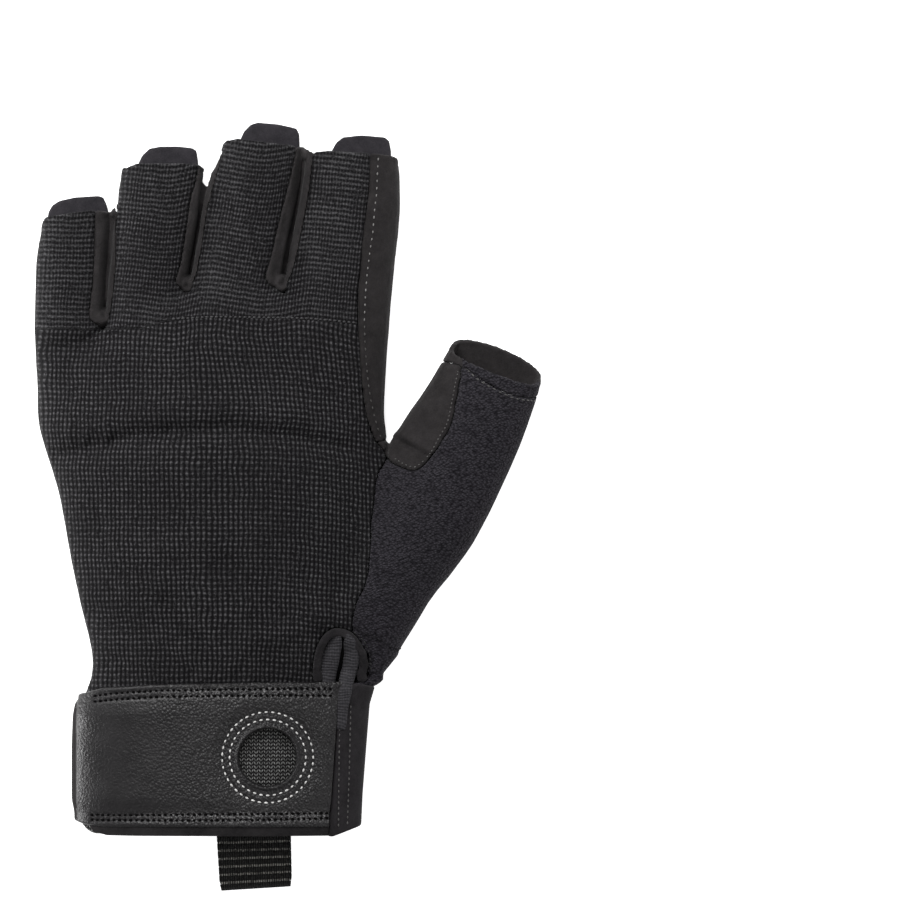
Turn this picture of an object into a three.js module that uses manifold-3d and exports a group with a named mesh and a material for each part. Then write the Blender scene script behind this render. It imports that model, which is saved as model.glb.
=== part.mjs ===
// A half-finger climbing glove for the left hand, lying palm down with its back up.
// Millimetres. +X points to the thumb side, +Y to the fingertips, +Z up from the surface it lies on.
// Plan places are shares: u runs across, from the little-finger edge (0) to the forefinger edge (1) of the
// knuckles, and v runs along, from the lower edge of the cuff (0) to the end of the middle finger (1).
import * as THREE from "three";
import { mergeVertices } from "three/addons/utils/BufferGeometryUtils.js";
import Module from "manifold-3d";

const wasm = await Module();
wasm.setup();

// Overall sizes
const KNUCKLE_WIDTH = 94;
const HAND_LENGTH = 185;
const BACK_HEIGHT = 22;
const FINGER_HEIGHT = 15.5;
const THUMB_HEIGHT = 17.5;

// Thickness of the materials
const CLOTH = 1.6;
const PALM_PAD = 2.8;
const FINGER_PAD = 2;
const PATCH = 1;
const LEATHER = 2;
const SIDE_PANEL = 2.4;
const WEBBING = 1.6;
const TAB = 2.2;
const BINDING_PROUD = 0.9;

// Width of the sewn details
const SEAM_GAP = 0.3;
const GROOVE_RADIUS = 1.1;
const FOURCHETTE_REACH = 2.7;
const BINDING_WIDTH = 1.9;
const WEBBING_WIDTH = 20;
const HOLE_RADIUS = 7.6;
const TAB_LENGTH = 5.4;
const TAB_OUTER_CORNER = 4.2;
const TAB_THUMB_CORNER = 1.7;
const HANG_LOOP_WIDTH = 11.5;
const HANG_LOOP_LENGTH = 6;
const HANG_LOOP_TAPE = 3;
const HANG_LOOP_GAP_SHARE = 0.45;

// Heights of the seams above the surface that the glove lies on
const SIDE_SEAM = 7;
const THUMB_SEAM = 8;
const INDEX_SEAM = 6;
const FOURCHETTE_SEAM = 2.6;
const FOURCHETTE_WEB = 6.5;

// Shape of a section: how high its widest place is, and how square its upper and lower halves are
const SIDE_SHARE = 0.45;
const ARCH_POWER = 2.3;
const FLAT_POWER = 5;
const FLAT_REACH = 1.08;

// Number of sides of the lofted tubes, outside and inside
const HAND_SIDES = 30;
const HAND_INNER_SIDES = 20;
const FINGER_SIDES = 18;
const FINGER_INNER_SIDES = 12;
const GROOVE_SIDES = 4;

// Space left above and below everything by a cut
const CLEAR = 60;

// Sections of the hand from the cuff to the finger roots: its two edges, the height of its back as a share
// of BACK_HEIGHT, how far its underside is lifted by the cuff's webbing, how far its row is bowed towards
// the fingers in the middle, and how far it runs ahead on the thumb side, as shares of HAND_LENGTH.
const CUFF_LIFT = WEBBING + 2 * SEAM_GAP;
const HAND_ROWS = [
  { v: -0.001, left: 0.138, right: 0.9, crown: 0.7, lift: 1, bow: 0, skew: 0 },
  { v: 0.06, left: 0.134, right: 0.905, crown: 0.71, lift: 1, bow: 0, skew: 0 },
  { v: 0.13, left: 0.134, right: 0.916, crown: 0.72, lift: 1, bow: 0, skew: 0 },
  { v: 0.19, left: 0.138, right: 0.926, crown: 0.73, lift: 1, bow: 0, skew: 0 },
  { v: 0.225, left: 0.168, right: 0.946, crown: 0.76, lift: 1, bow: 0, skew: 0 },
  { v: 0.266, left: 0.169, right: 0.985, crown: 0.84, lift: 0.2, bow: 0, skew: 0 },
  { v: 0.333, left: 0.137, right: 1.02, crown: 0.93, lift: 0, bow: 0, skew: 0 },
  { v: 0.404, left: 0.108, right: 1.03, crown: 0.98, lift: 0, bow: 0, skew: 0 },
  { v: 0.49, left: 0.078, right: 1.026, crown: 1, lift: 0, bow: 0, skew: 0 },
  { v: 0.549, left: 0.046, right: 1.01, crown: 0.98, lift: 0, bow: 0.006, skew: 0 },
  { v: 0.607, left: 0.022, right: 1, crown: 0.94, lift: 0, bow: 0.02, skew: 0.004 },
  { v: 0.665, left: 0.014, right: 1, crown: 0.88, lift: 0, bow: 0.045, skew: 0.01 },
  { v: 0.73, left: 0.014, right: 1.005, crown: 0.81, lift: 0, bow: 0.08, skew: 0.018 },
  { v: 0.788, left: 0.014, right: 1.006, crown: 0.74, lift: 0, bow: 0.12, skew: 0.025 },
];

// Axis of each finger from its root inside the hand to its open end: place, half width across and height,
// as shares of KNUCKLE_WIDTH and FINGER_HEIGHT.
const FINGERS = {
  little: [
    { u: 0.106, v: 0.58, half: 0.084, crown: 0.86 },
    { u: 0.102, v: 0.73, half: 0.097, crown: 0.9 },
    { u: 0.107, v: 0.816, half: 0.097, crown: 0.88 },
    { u: 0.117, v: 0.897, half: 0.094, crown: 0.84 },
  ],
  ring: [
    { u: 0.318, v: 0.63, half: 0.11, crown: 1 },
    { u: 0.32, v: 0.773, half: 0.112, crown: 1.02 },
    { u: 0.335, v: 0.84, half: 0.119, crown: 1 },
    { u: 0.353, v: 0.9, half: 0.121, crown: 0.96 },
    { u: 0.368, v: 0.967, half: 0.119, crown: 0.9 },
  ],
  middle: [
    { u: 0.574, v: 0.65, half: 0.125, crown: 1.04 },
    { u: 0.574, v: 0.795, half: 0.127, crown: 1.06 },
    { u: 0.612, v: 0.906, half: 0.127, crown: 1 },
    { u: 0.63, v: 0.95, half: 0.122, crown: 0.96 },
    { u: 0.648, v: 0.997, half: 0.112, crown: 0.9 },
  ],
  index: [
    { u: 0.857, v: 0.64, half: 0.14, crown: 1.04 },
    { u: 0.869, v: 0.797, half: 0.153, crown: 1.05 },
    { u: 0.897, v: 0.906, half: 0.148, crown: 0.98 },
    { u: 0.907, v: 0.982, half: 0.134, crown: 0.92 },
  ],
};

// Axis of the thumb, from inside the heel of the hand to its open end.
const THUMB_ROWS = [
  { u: 0.884, v: 0.306, half: 0.138, crown: 0.98 },
  { u: 0.99, v: 0.382, half: 0.16, crown: 1.08 },
  { u: 1.105, v: 0.46, half: 0.166, crown: 1.12 },
  { u: 1.185, v: 0.543, half: 0.168, crown: 1.08 },
  { u: 1.243, v: 0.595, half: 0.157, crown: 1 },
  { u: 1.292, v: 0.648, half: 0.145, crown: 0.9 },
  { u: 1.324, v: 0.688, half: 0.141, crown: 0.84 },
];
const THUMB_MOUTH_SLANT = 0.24;

// Each finger's tab: half its width and how far it sits towards the thumb, as shares of its finger's half
const TABS = {
  little: { half: 0.88, shift: 0.15 },
  ring: { half: 0.74, shift: 0.09 },
  middle: { half: 0.77, shift: 0.22 },
  index: { half: 0.67, shift: 0.06 },
};
const TAB_TAPER = 0.95;

// Folds of the back, each along a line between two places: its half width as a share of BACK_HEIGHT and
// how far it stands up (or is pressed in, below zero), as a share of BACK_HEIGHT.
const FOLDS = [
  { u: 0.06, v: 0.552, toU: 0.56, toV: 0.586, width: 0.2, lift: -0.025 },
  { u: 0.56, v: 0.586, toU: 0.9, toV: 0.556, width: 0.2, lift: -0.02 },
  { u: 0.05, v: 0.515, toU: 0.5, toV: 0.545, width: 0.2, lift: 0.045 },
  { u: 0.03, v: 0.69, toU: 0.42, toV: 0.7, width: 0.18, lift: -0.04 },
  { u: 0.2, v: 0.345, toU: 0.52, toV: 0.27, width: 0.2, lift: -0.04 },
  { u: 0.36, v: 0.39, toU: 0.78, toV: 0.28, width: 0.2, lift: 0.04 },
  { u: 0.55, v: 0.42, toU: 0.92, toV: 0.34, width: 0.18, lift: -0.04 },
];

// Strips between the fingers: the middle line of each, from the fingers' ends to the middle of its round root,
// its half width as a share of FOURCHETTE_REACH, and where the web at the bottom of the gap ends
const FOURCHETTES = {
  little_ring: {
    reach: 0.98, webV: 0.885, line: [[0.218, 0.99], [0.207, 0.917], [0.203, 0.86], [0.201, 0.8], [0.192, 0.748]],
  },
  ring_middle: {
    reach: 0.84, webV: 0.935, line: [[0.52, 1.03], [0.496, 0.949], [0.476, 0.912], [0.452, 0.832], [0.434, 0.796]],
  },
  middle_index: {
    reach: 1.14, webV: 0.965, line: [[0.775, 1.03], [0.768, 0.982], [0.747, 0.917], [0.716, 0.835], [0.697, 0.803]],
  },
};
const ROUND_SIDES = 6;

// Seam lines in plan
const INDEX_SEAM_LINE = [
  [0.966, 1.03], [0.957, 0.926], [0.935, 0.83], [0.926, 0.744], [0.937, 0.66], [0.95, 0.608], [0.976, 0.568],
];
const INDEX_SIDE_EDGE = [[1.022, 0.568], [1.06, 0.64], [1.1, 0.8], [1.08, 1.03]];
const THUMB_GUSSET_LINE = [
  [0.976, 0.57], [1.012, 0.541], [1.05, 0.53], [1.086, 0.526], [1.114, 0.535], [1.142, 0.552],
];
const THUMB_SEAM_LINE = [[1.165, 0.572], [1.187, 0.59], [1.199, 0.617], [1.208, 0.643], [1.219, 0.675]];
const THUMB_FRONT_EDGE = [[1.238, 0.74], [1.1, 0.74], [1.04, 0.64], [1.02, 0.57]];
const TERRY_BACK_LINE = [
  [1.01, 0.541], [0.982, 0.517], [0.972, 0.486], [0.963, 0.432], [0.953, 0.37], [0.903, 0.304], [0.87, 0.15],
];
const TERRY_BACK_EDGE = [[1.1, 0.15], [1.7, 0.35], [1.7, 0.74], [1.1, 0.74]];
const TERRY_PALM_LINE = [
  [1.36, 0.74], [1.364, 0.67], [1.325, 0.6], [1.25, 0.516], [1.114, 0.44], [0.963, 0.376], [0.768, 0.266],
  [0.69, 0.15],
];
const TERRY_PALM_EDGE = [[1.1, 0.15], [1.7, 0.35], [1.7, 0.74]];
const THUMB_PALM_LINE = [
  [1.02, 0.57], [0.905, 0.558], [0.805, 0.462], [0.665, 0.354], [0.65, 0.27], [0.69, 0.15],
];
const THUMB_PALM_CORNER = [[1.1, 0.74]];
const HEM_LINE = [
  [1.08, 0.688], [1.232, 0.675], [1.272, 0.656], [1.358, 0.634], [1.424, 0.63], [1.56, 0.63],
];
const HEM_EDGE = [[1.7, 0.63], [1.7, 0.76], [1.08, 0.76]];

// Overlaid patch at the root of the forefinger, on the palm
const PATCH_OUTLINE = [
  [0.95, 0.73], [0.895, 0.714], [0.806, 0.696], [0.68, 0.675], [0.63, 0.648], [0.634, 0.62], [0.69, 0.595],
  [0.77, 0.584], [0.84, 0.578], [0.885, 0.582], [0.92, 0.6], [0.94, 0.625], [0.95, 0.66],
];

// Quilting lines pressed into the padded palm
const GROOVES = [
  [[0.092, 0.6], [0.093, 0.642], [0.11, 0.662], [0.163, 0.672], [0.265, 0.679], [0.42, 0.68], [0.655, 0.681]],
  [[0.188, 0.592], [0.205, 0.612], [0.245, 0.622], [0.366, 0.628], [0.468, 0.632], [0.615, 0.637]],
  [[0.34, 0.559], [0.417, 0.572], [0.515, 0.585], [0.61, 0.603]],
  [[0.333, 0.55], [0.468, 0.548], [0.617, 0.546], [0.752, 0.549], [0.86, 0.557]],
  [[0.265, 0.49], [0.417, 0.491], [0.566, 0.494], [0.655, 0.5], [0.637, 0.47], [0.535, 0.408], [0.445, 0.375],
    [0.307, 0.376], [0.163, 0.38]],
  [[0.6, 0.316], [0.55, 0.307], [0.42, 0.31], [0.174, 0.318]],
];

// Bound slit at the thumb side of the wrist
const SLIT_U = 0.867;
const SLIT_BASE_V = 0.224;
const SLIT_HALF_WIDTH = 5.9;
const SLIT_HEIGHT = 13.2;
const SLIT_SUNK = 0.9;

// Cuff, strap and side panel
const HAND_END_V = 0.196;
const PALM_END_V = 0.236;
const BAND_LOW_V = 0.045;
const STRAP_LOW_V = 0.011;
const STRAP_END_U = 0.853;
const STRAP_TOP_LINE = [
  [0.02, 0.2], [0.11, 0.204], [0.177, 0.2145], [0.32, 0.22], [0.6, 0.2225], [STRAP_END_U, 0.2235],
];
const STRAP_END_SLOPE = 0.012;
const STRAP_LOW_CORNER = [[0.02, 0.02], [0.12, 0.008], [0.2, 0]];
const HOLE_U = 0.665;
const HOLE_V = 0.115;
const PANEL_TOP_V = 0.212;
const PANEL_LOW_LINE = [[0.85, 0.005], [0.88, -0.004], [1.1, 0.02]];
const STRAP_WRAP = 2;
const CUFF_SEAM = 8;
const WEBBING_U = 0.624;
const WEBBING_END_V = -0.08;
const HANG_LOOP_US = { hang_loop_little: 0.36, hang_loop_thumb: 0.83 };

// Colours and surfaces, as seen on the real glove
const LOOKS = {
  woven: { color: 0x1f1e20, roughness: 0.9 },
  suede: { color: 0x2d2b2c, roughness: 0.95 },
  microfibre: { color: 0x312f33, roughness: 0.95 },
  terry: { color: 0x1f1d24, roughness: 1 },
  leather: { color: 0x2f2d2f, roughness: 0.45 },
  elastic: { color: 0x2a2a2b, roughness: 0.8 },
  webbing: { color: 0x1f1f21, roughness: 0.6 },
};

// Plan places
const across = (u) => u * KNUCKLE_WIDTH;
const along = (v) => v * HAND_LENGTH;
const place = ([u, v]) => new THREE.Vector2(across(u), along(v));
const places = (list) => list.map(place);

// A smooth line through a few places
function flowing(list, steps = 4 * list.length) {
  return new THREE.SplineCurve(places(list)).getSpacedPoints(steps);
}

// Turns a closed geometry into a solid that can be joined and cut
function toSolid(geometry) {
  const bare = geometry.clone();
  bare.deleteAttribute("normal");
  bare.deleteAttribute("uv");
  const merged = mergeVertices(bare, 1e-4);
  const vertProperties = new Float32Array(merged.attributes.position.array);
  const triVerts = new Uint32Array(merged.index.array);
  return new wasm.Manifold(new wasm.Mesh({ numProp: 3, vertProperties, triVerts }));
}

function toGeometry(solid) {
  const mesh = solid.getMesh();
  const geometry = new THREE.BufferGeometry();
  geometry.setAttribute("position", new THREE.BufferAttribute(new Float32Array(mesh.vertProperties), 3));
  geometry.setIndex(new THREE.BufferAttribute(new Uint32Array(mesh.triVerts), 1));
  geometry.computeVertexNormals();
  return geometry;
}

const joined = (solids) => solids.reduce((sum, solid) => sum.add(solid));

// A skin through closed rings of points, with each end closed between its upper and lower halves
function loft(rings) {
  const steps = rings[0].length;
  const triangles = [];
  for (let r = 0; r + 1 < rings.length; r += 1) {
    for (let i = 0; i < steps; i += 1) {
      const next = (i + 1) % steps;
      const low = r * steps;
      const high = low + steps;
      triangles.push(low + i, high + i, high + next, low + i, high + next, low + next);
    }
  }
  for (const [ring, flip] of [[0, false], [rings.length - 1, true]]) {
    const start = ring * steps;
    for (let i = 0; i < steps / 2; i += 1) {
      const corners = [i, i + 1, steps - i - 1, (steps - i) % steps].map((corner) => start + corner);
      const halves = [[corners[0], corners[1], corners[2]], [corners[0], corners[2], corners[3]]];
      const whole = halves.filter((half) => new Set(half).size === 3);
      triangles.push(...whole.flatMap((half) => (flip ? half.reverse() : half)));
    }
  }
  const geometry = new THREE.BufferGeometry().setFromPoints(rings.flat());
  geometry.setIndex(triangles);
  return toSolid(geometry);
}

// Rows between the given ones, each column on a smooth curve
function smoothRows(rows, between) {
  const names = Object.keys(rows[0]);
  const values = rows.flatMap((row) => names.map((name) => row[name]));
  const curve = new THREE.CubicInterpolant(rows.map((row, index) => index), values, names.length);
  const count = (rows.length - 1) * between;
  return Array.from({ length: count + 1 }, (_, k) => {
    const found = Array.from(curve.evaluate(k / between));
    return Object.fromEntries(names.map((name, index) => [name, found[index]]));
  });
}

// How far the folds lift the back at a place
function foldLift(x, y) {
  const here = new THREE.Vector3(x, y, 0);
  const nearest = new THREE.Vector3();
  return FOLDS.reduce((sum, fold) => {
    const from = new THREE.Vector3(across(fold.u), along(fold.v), 0);
    const to = new THREE.Vector3(across(fold.toU), along(fold.toV), 0);
    new THREE.Line3(from, to).closestPointToPoint(here, true, nearest);
    const far = nearest.distanceTo(here) / (fold.width * BACK_HEIGHT);
    return sum + fold.lift * BACK_HEIGHT * Math.exp(-far * far);
  }, 0);
}

// One ring of a tube that lies on a surface: flat below with round corners, arched above
function lyingRing({ x, y, half, base, crown, turn = 0, bow = 0, skew = 0, slant = 0, folded = false }, steps) {
  const side = base + SIDE_SHARE * (crown - base);
  return Array.from({ length: steps }, (_, i) => {
    const angle = (2 * Math.PI * i) / steps;
    const power = Math.sin(angle) >= 0 ? ARCH_POWER : FLAT_POWER;
    const reach = Math.sign(Math.cos(angle)) * Math.abs(Math.cos(angle)) ** (2 / power);
    const rise = Math.abs(Math.sin(angle)) ** (2 / power);
    const upper = Math.sin(angle) >= 0;
    const fall = (side - base) * Math.min(1, FLAT_REACH * rise);
    const level = upper ? side + (crown - side) * rise : side - fall;
    const sideways = half * reach;
    const bowed = skew * reach - bow * reach * reach;
    const forward = bowed - (slant * (level - base)) / (crown - base);
    const px = x + sideways * Math.cos(turn) + forward * Math.sin(turn);
    const py = y - sideways * Math.sin(turn) + forward * Math.cos(turn);
    const lift = folded && upper ? foldLift(px, py) * rise : 0;
    return new THREE.Vector3(px, py, level + lift);
  });
}

// The hand and cuff without fingers, grown outwards or, below zero, shrunk to the inside
function handForm({ side, top, floor, ends = 0, steps, between }) {
  const rows = smoothRows(HAND_ROWS, between);
  const rings = rows.map((row, index) => {
    const last = index === rows.length - 1;
    const shift = index === 0 ? -Math.max(ends, 0) : 0;
    return lyingRing({
      x: across((row.left + row.right) / 2),
      y: along(row.v) + shift + (last ? Math.min(top, 0) : 0),
      half: across((row.right - row.left) / 2) + side,
      base: Math.max(row.lift, 0) * CUFF_LIFT - floor,
      crown: row.crown * BACK_HEIGHT + top,
      bow: row.bow * HAND_LENGTH,
      skew: row.skew * HAND_LENGTH,
      folded: true,
    }, steps);
  });
  return loft(rings);
}

// A finger or thumb along its axis, open-ended inside once its shrunk form is cut away
function fingerForm(rows, height, { side, top, floor, ends = 0, slant = 0, steps, between }) {
  const fine = smoothRows(rows, between);
  const middle = fine.map((row) => place([row.u, row.v]));
  const rings = fine.map((row, index) => {
    const ahead = middle[Math.min(index + 1, fine.length - 1)];
    const behind = middle[Math.max(index - 1, 0)];
    const way = ahead.clone().sub(behind).normalize();
    const push = index === fine.length - 1 ? ends : 0;
    return lyingRing({
      x: middle[index].x + way.x * push,
      y: middle[index].y + way.y * push,
      half: row.half * KNUCKLE_WIDTH + side,
      base: -floor,
      crown: row.crown * height + top,
      turn: Math.atan2(way.x, way.y),
      slant: slant * Math.max(0, (index + 1 + between - fine.length) / between),
    }, steps);
  });
  return loft(rings);
}

// A straight cut through the glove with a plan outline
function prism(outline, low = -CLEAR, high = CLEAR) {
  const shape = new THREE.Shape(outline);
  const geometry = new THREE.ExtrudeGeometry(shape, { depth: high - low, bevelEnabled: false });
  geometry.translate(0, 0, low);
  return toSolid(geometry);
}

// The same outline with each side moved out by a distance
function grown(outline, distance) {
  const turn = Math.sign(THREE.ShapeUtils.area(outline));
  return outline.map((point, index) => {
    const before = outline[(index + outline.length - 1) % outline.length];
    const after = outline[(index + 1) % outline.length];
    const first = point.clone().sub(before).normalize();
    const second = after.clone().sub(point).normalize();
    const outFirst = new THREE.Vector2(first.y, -first.x);
    const outSecond = new THREE.Vector2(second.y, -second.x);
    const out = outFirst.add(outSecond).normalize();
    const reach = distance / Math.max(0.5, out.dot(outSecond));
    return point.clone().addScaledVector(out, turn * reach);
  });
}

// A strip on both sides of a line, round at the line's last point
function strip(line, reach) {
  const sides = line.map((point, index) => {
    const ahead = line[Math.min(index + 1, line.length - 1)];
    const behind = line[Math.max(index - 1, 0)];
    const way = ahead.clone().sub(behind).normalize();
    return new THREE.Vector2(-way.y, way.x).multiplyScalar(reach);
  });
  const left = line.map((point, index) => point.clone().add(sides[index]));
  const right = line.map((point, index) => point.clone().sub(sides[index]));
  const end = Array.from({ length: ROUND_SIDES - 1 }, (_, i) => (
    left.at(-1).clone().rotateAround(line.at(-1), (-Math.PI * (i + 1)) / ROUND_SIDES)
  ));
  return [...left, ...end, ...right.reverse()];
}

// A block between two heights of the plan, over its whole width
function bandBetween(lowY, highY, low = -CLEAR, high = CLEAR) {
  const reach = 2 * KNUCKLE_WIDTH;
  const outline = [[-reach, lowY], [reach, lowY], [reach, highY], [-reach, highY]];
  return prism(outline.map(([x, y]) => new THREE.Vector2(x, y)), low, high);
}

// The whole hollow glove: outside joined, inside joined, one cut from the other
const OUTSIDE = { side: 0, top: 0, floor: 0 };
const INSIDE = { side: -CLOTH, top: -CLOTH, floor: -FINGER_PAD, ends: 3 };
const fingerOutside = Object.values(FINGERS).map((rows) => (
  fingerForm(rows, FINGER_HEIGHT, { ...OUTSIDE, steps: FINGER_SIDES, between: 1 })
));
const fingerInside = Object.values(FINGERS).map((rows) => (
  fingerForm(rows, FINGER_HEIGHT, { ...INSIDE, steps: FINGER_INNER_SIDES, between: 1 })
));
const thumbOutside = fingerForm(THUMB_ROWS, THUMB_HEIGHT, {
  ...OUTSIDE, slant: THUMB_MOUTH_SLANT * THUMB_HEIGHT, steps: FINGER_SIDES, between: 2,
});
const thumbInside = fingerForm(THUMB_ROWS, THUMB_HEIGHT, {
  ...INSIDE, steps: FINGER_INNER_SIDES, between: 1,
});
const handOutside = handForm({ ...OUTSIDE, steps: HAND_SIDES, between: 2 });
const handInside = handForm({ ...INSIDE, floor: -PALM_PAD, steps: HAND_INNER_SIDES, between: 1 });
const outside = joined([handOutside, thumbOutside, ...fingerOutside]);
const inside = joined([handInside, thumbInside, ...fingerInside]);
const shell = outside.subtract(inside);

const pieces = new Map();
const keep = (name, look, solid) => pieces.set(name, { look, solid });

// Cuff layers, below the hand
const handEnd = along(HAND_END_V);
const palmEnd = along(PALM_END_V);
keep("strap_base", "terry", shell.intersect(bandBetween(-CLEAR, handEnd - SEAM_GAP, CUFF_SEAM)));
keep("cuff_band", "elastic", shell.intersect(
  bandBetween(along(BAND_LOW_V), palmEnd - SEAM_GAP, -CLEAR, CUFF_SEAM - SEAM_GAP),
));

// The hand's panels, taken one after another from what is left of the shell
let rest = shell
  .subtract(bandBetween(-CLEAR, handEnd, CUFF_SEAM - SEAM_GAP))
  .subtract(bandBetween(-CLEAR, palmEnd, -CLEAR, CUFF_SEAM));

function take(name, look, regions) {
  const region = joined(regions.map(({ outline, low, high }) => prism(outline, low, high)));
  const cleared = joined(regions.map(({ outline, low = -CLEAR, high = CLEAR }) => (
    prism(grown(outline, SEAM_GAP), low - SEAM_GAP, high + SEAM_GAP)
  )));
  keep(name, look, rest.intersect(region));
  rest = rest.subtract(cleared);
}

// Bound slit: an arch-shaped window, its rolled binding and the folded knit inside it
function arch(halfWidth, height, low = 0, steps = 14) {
  const centre = place([SLIT_U, SLIT_BASE_V]);
  return Array.from({ length: steps + 1 }, (_, i) => {
    const angle = (Math.PI * i) / steps;
    const rise = i === 0 || i === steps ? low : height * Math.sin(angle) ** 0.8;
    return new THREE.Vector2(centre.x + halfWidth * Math.cos(angle), centre.y + rise);
  });
}

const slitInner = SLIT_HALF_WIDTH - BINDING_WIDTH;
const slitInnerHeight = SLIT_HEIGHT - BINDING_WIDTH;
const archOuter = arch(SLIT_HALF_WIDTH, SLIT_HEIGHT);
const archInner = arch(slitInner, slitInnerHeight);
const archClear = arch(SLIT_HALF_WIDTH + SEAM_GAP, SLIT_HEIGHT + SEAM_GAP, -SEAM_GAP);
const coverHand = (growth) => (
  handForm({ side: growth, top: growth, floor: 0, ends: 1, steps: HAND_SIDES, between: 2 })
);
keep("slit_binding", "suede", coverHand(BINDING_PROUD).subtract(handInside)
  .intersect(prism(archOuter, THUMB_SEAM))
  .subtract(prism(arch(slitInner, slitInnerHeight, -1), 0)));
keep("slit_gusset", "terry", coverHand(-SLIT_SUNK).subtract(coverHand(-SLIT_SUNK - CLOTH))
  .intersect(prism(grown(archInner, -SEAM_GAP), THUMB_SEAM)));
rest = rest.subtract(prism(archClear, THUMB_SEAM - SEAM_GAP));

for (const [name, { reach, webV, line }] of Object.entries(FOURCHETTES)) {
  const outline = strip(flowing(line, 10), reach * FOURCHETTE_REACH);
  take(`fourchette_${name}`, "suede", [{ outline, low: FOURCHETTE_SEAM }]);
  const web = prism(outline, FOURCHETTE_WEB, FOURCHETTE_WEB + CLOTH)
    .intersect(bandBetween(-CLEAR, along(webV)))
    .subtract(inside);
  const flanks = pieces.get(`fourchette_${name}`).solid;
  keep(`fourchette_${name}`, "suede", flanks.add(web));
}
const indexSide = [...flowing(INDEX_SEAM_LINE), ...places(INDEX_SIDE_EDGE)];
take("index_side", "suede", [{ outline: indexSide, low: INDEX_SEAM }]);
take("thumb_hem", "suede", [{ outline: [...flowing(HEM_LINE, 12), ...places(HEM_EDGE)] }]);
take("thumb_front", "suede", [
  {
    outline: [...flowing([...THUMB_GUSSET_LINE, ...THUMB_SEAM_LINE]), ...places(THUMB_FRONT_EDGE)],
    low: THUMB_SEAM,
  },
  {
    outline: [
      ...flowing(THUMB_PALM_LINE),
      ...flowing([...TERRY_PALM_LINE].reverse()).slice(1),
      ...places(THUMB_PALM_CORNER),
    ],
    high: THUMB_SEAM,
  },
]);
take("thumb_back", "terry", [
  { outline: [...flowing(TERRY_BACK_LINE), ...places(TERRY_BACK_EDGE)], low: THUMB_SEAM },
  { outline: [...flowing(TERRY_PALM_LINE), ...places(TERRY_PALM_EDGE)], high: THUMB_SEAM },
]);

// Palm: quilting grooves and the seat of the overlaid patch
const grooveSection = new THREE.Shape(Array.from({ length: GROOVE_SIDES }, (_, i) => (
  new THREE.Vector2(GROOVE_RADIUS, 0).rotateAround(new THREE.Vector2(), (i * 2 * Math.PI) / GROOVE_SIDES)
)));
const grooves = GROOVES.map((line) => {
  const route = places(line).map((point) => new THREE.Vector3(point.x, point.y, 0));
  const path = new THREE.CatmullRomCurve3(route);
  return toSolid(new THREE.ExtrudeGeometry(grooveSection, {
    steps: 2 * line.length - 2, extrudePath: path, bevelEnabled: false,
  }));
});
const patchOutline = places(PATCH_OUTLINE);
keep("palm_patch", "suede", outside.intersect(prism(patchOutline, -1, PATCH)));
keep("back_panel", "woven", rest.intersect(bandBetween(-CLEAR, 2 * HAND_LENGTH, SIDE_SEAM)));
keep("palm_panel", "suede", rest
  .intersect(bandBetween(-CLEAR, 2 * HAND_LENGTH, -CLEAR, SIDE_SEAM - SEAM_GAP))
  .subtract(joined(grooves))
  .subtract(prism(grown(patchOutline, SEAM_GAP), -1, PATCH + SEAM_GAP)));

// Strap and side panel over the back of the wrist
const strapUnder = coverHand(SEAM_GAP);
const strapOutline = [
  ...flowing(STRAP_TOP_LINE).reverse(),
  ...places(STRAP_LOW_CORNER.map(([u, rise]) => [u, STRAP_LOW_V + rise])),
  place([STRAP_END_U - STRAP_END_SLOPE, STRAP_LOW_V]),
];
const holeCentre = place([HOLE_U, HOLE_V]);
const hole = new THREE.CylinderGeometry(HOLE_RADIUS, HOLE_RADIUS, CLEAR, 32);
hole.rotateX(Math.PI / 2);
hole.translate(holeCentre.x, holeCentre.y, CLEAR / 2);
keep("strap", "leather", coverHand(SEAM_GAP + LEATHER).subtract(strapUnder)
  .intersect(prism(strapOutline, SIDE_SEAM - STRAP_WRAP))
  .subtract(toSolid(hole)));
const panelOutline = [
  ...places(PANEL_LOW_LINE),
  place([1.1, PANEL_TOP_V]),
  place([STRAP_END_U, PANEL_TOP_V]),
  place([STRAP_END_U - STRAP_END_SLOPE, PANEL_LOW_LINE[0][1]]),
].map((point, index) => (index > PANEL_LOW_LINE.length ? point.add(new THREE.Vector2(SEAM_GAP, 0)) : point));
keep("side_panel", "suede", coverHand(SEAM_GAP + SIDE_PANEL).subtract(strapUnder)
  .intersect(prism(panelOutline, SIDE_SEAM - STRAP_WRAP)));

// Pull tab of webbing under the cuff, folded back at its free end
const pullX = across(WEBBING_U) - WEBBING_WIDTH / 2;
const pullEnd = along(WEBBING_END_V);
const pullBack = along(HAND_ROWS[0].v) - SEAM_GAP;
const pullTop = 2 * WEBBING + SEAM_GAP;
const foldRadius = pullTop / 2;
const pullSide = new THREE.Shape();
pullSide.moveTo(palmEnd - SEAM_GAP, 0);
pullSide.lineTo(palmEnd - SEAM_GAP, WEBBING);
pullSide.lineTo(pullEnd + foldRadius, WEBBING);
pullSide.lineTo(pullEnd + foldRadius, WEBBING + SEAM_GAP);
pullSide.lineTo(pullBack, WEBBING + SEAM_GAP);
pullSide.lineTo(pullBack, pullTop);
pullSide.lineTo(pullEnd + foldRadius, pullTop);
pullSide.absarc(pullEnd + foldRadius, foldRadius, foldRadius, Math.PI / 2, (3 * Math.PI) / 2, false);
const pull = new THREE.ExtrudeGeometry(pullSide, {
  depth: WEBBING_WIDTH, bevelEnabled: false, curveSegments: 5,
});
pull.applyMatrix4(new THREE.Matrix4().makeBasis(
  new THREE.Vector3(0, 1, 0), new THREE.Vector3(0, 0, 1), new THREE.Vector3(1, 0, 0),
));
pull.translate(pullX, 0, 0);
keep("pull_tab", "webbing", toSolid(pull));

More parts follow.
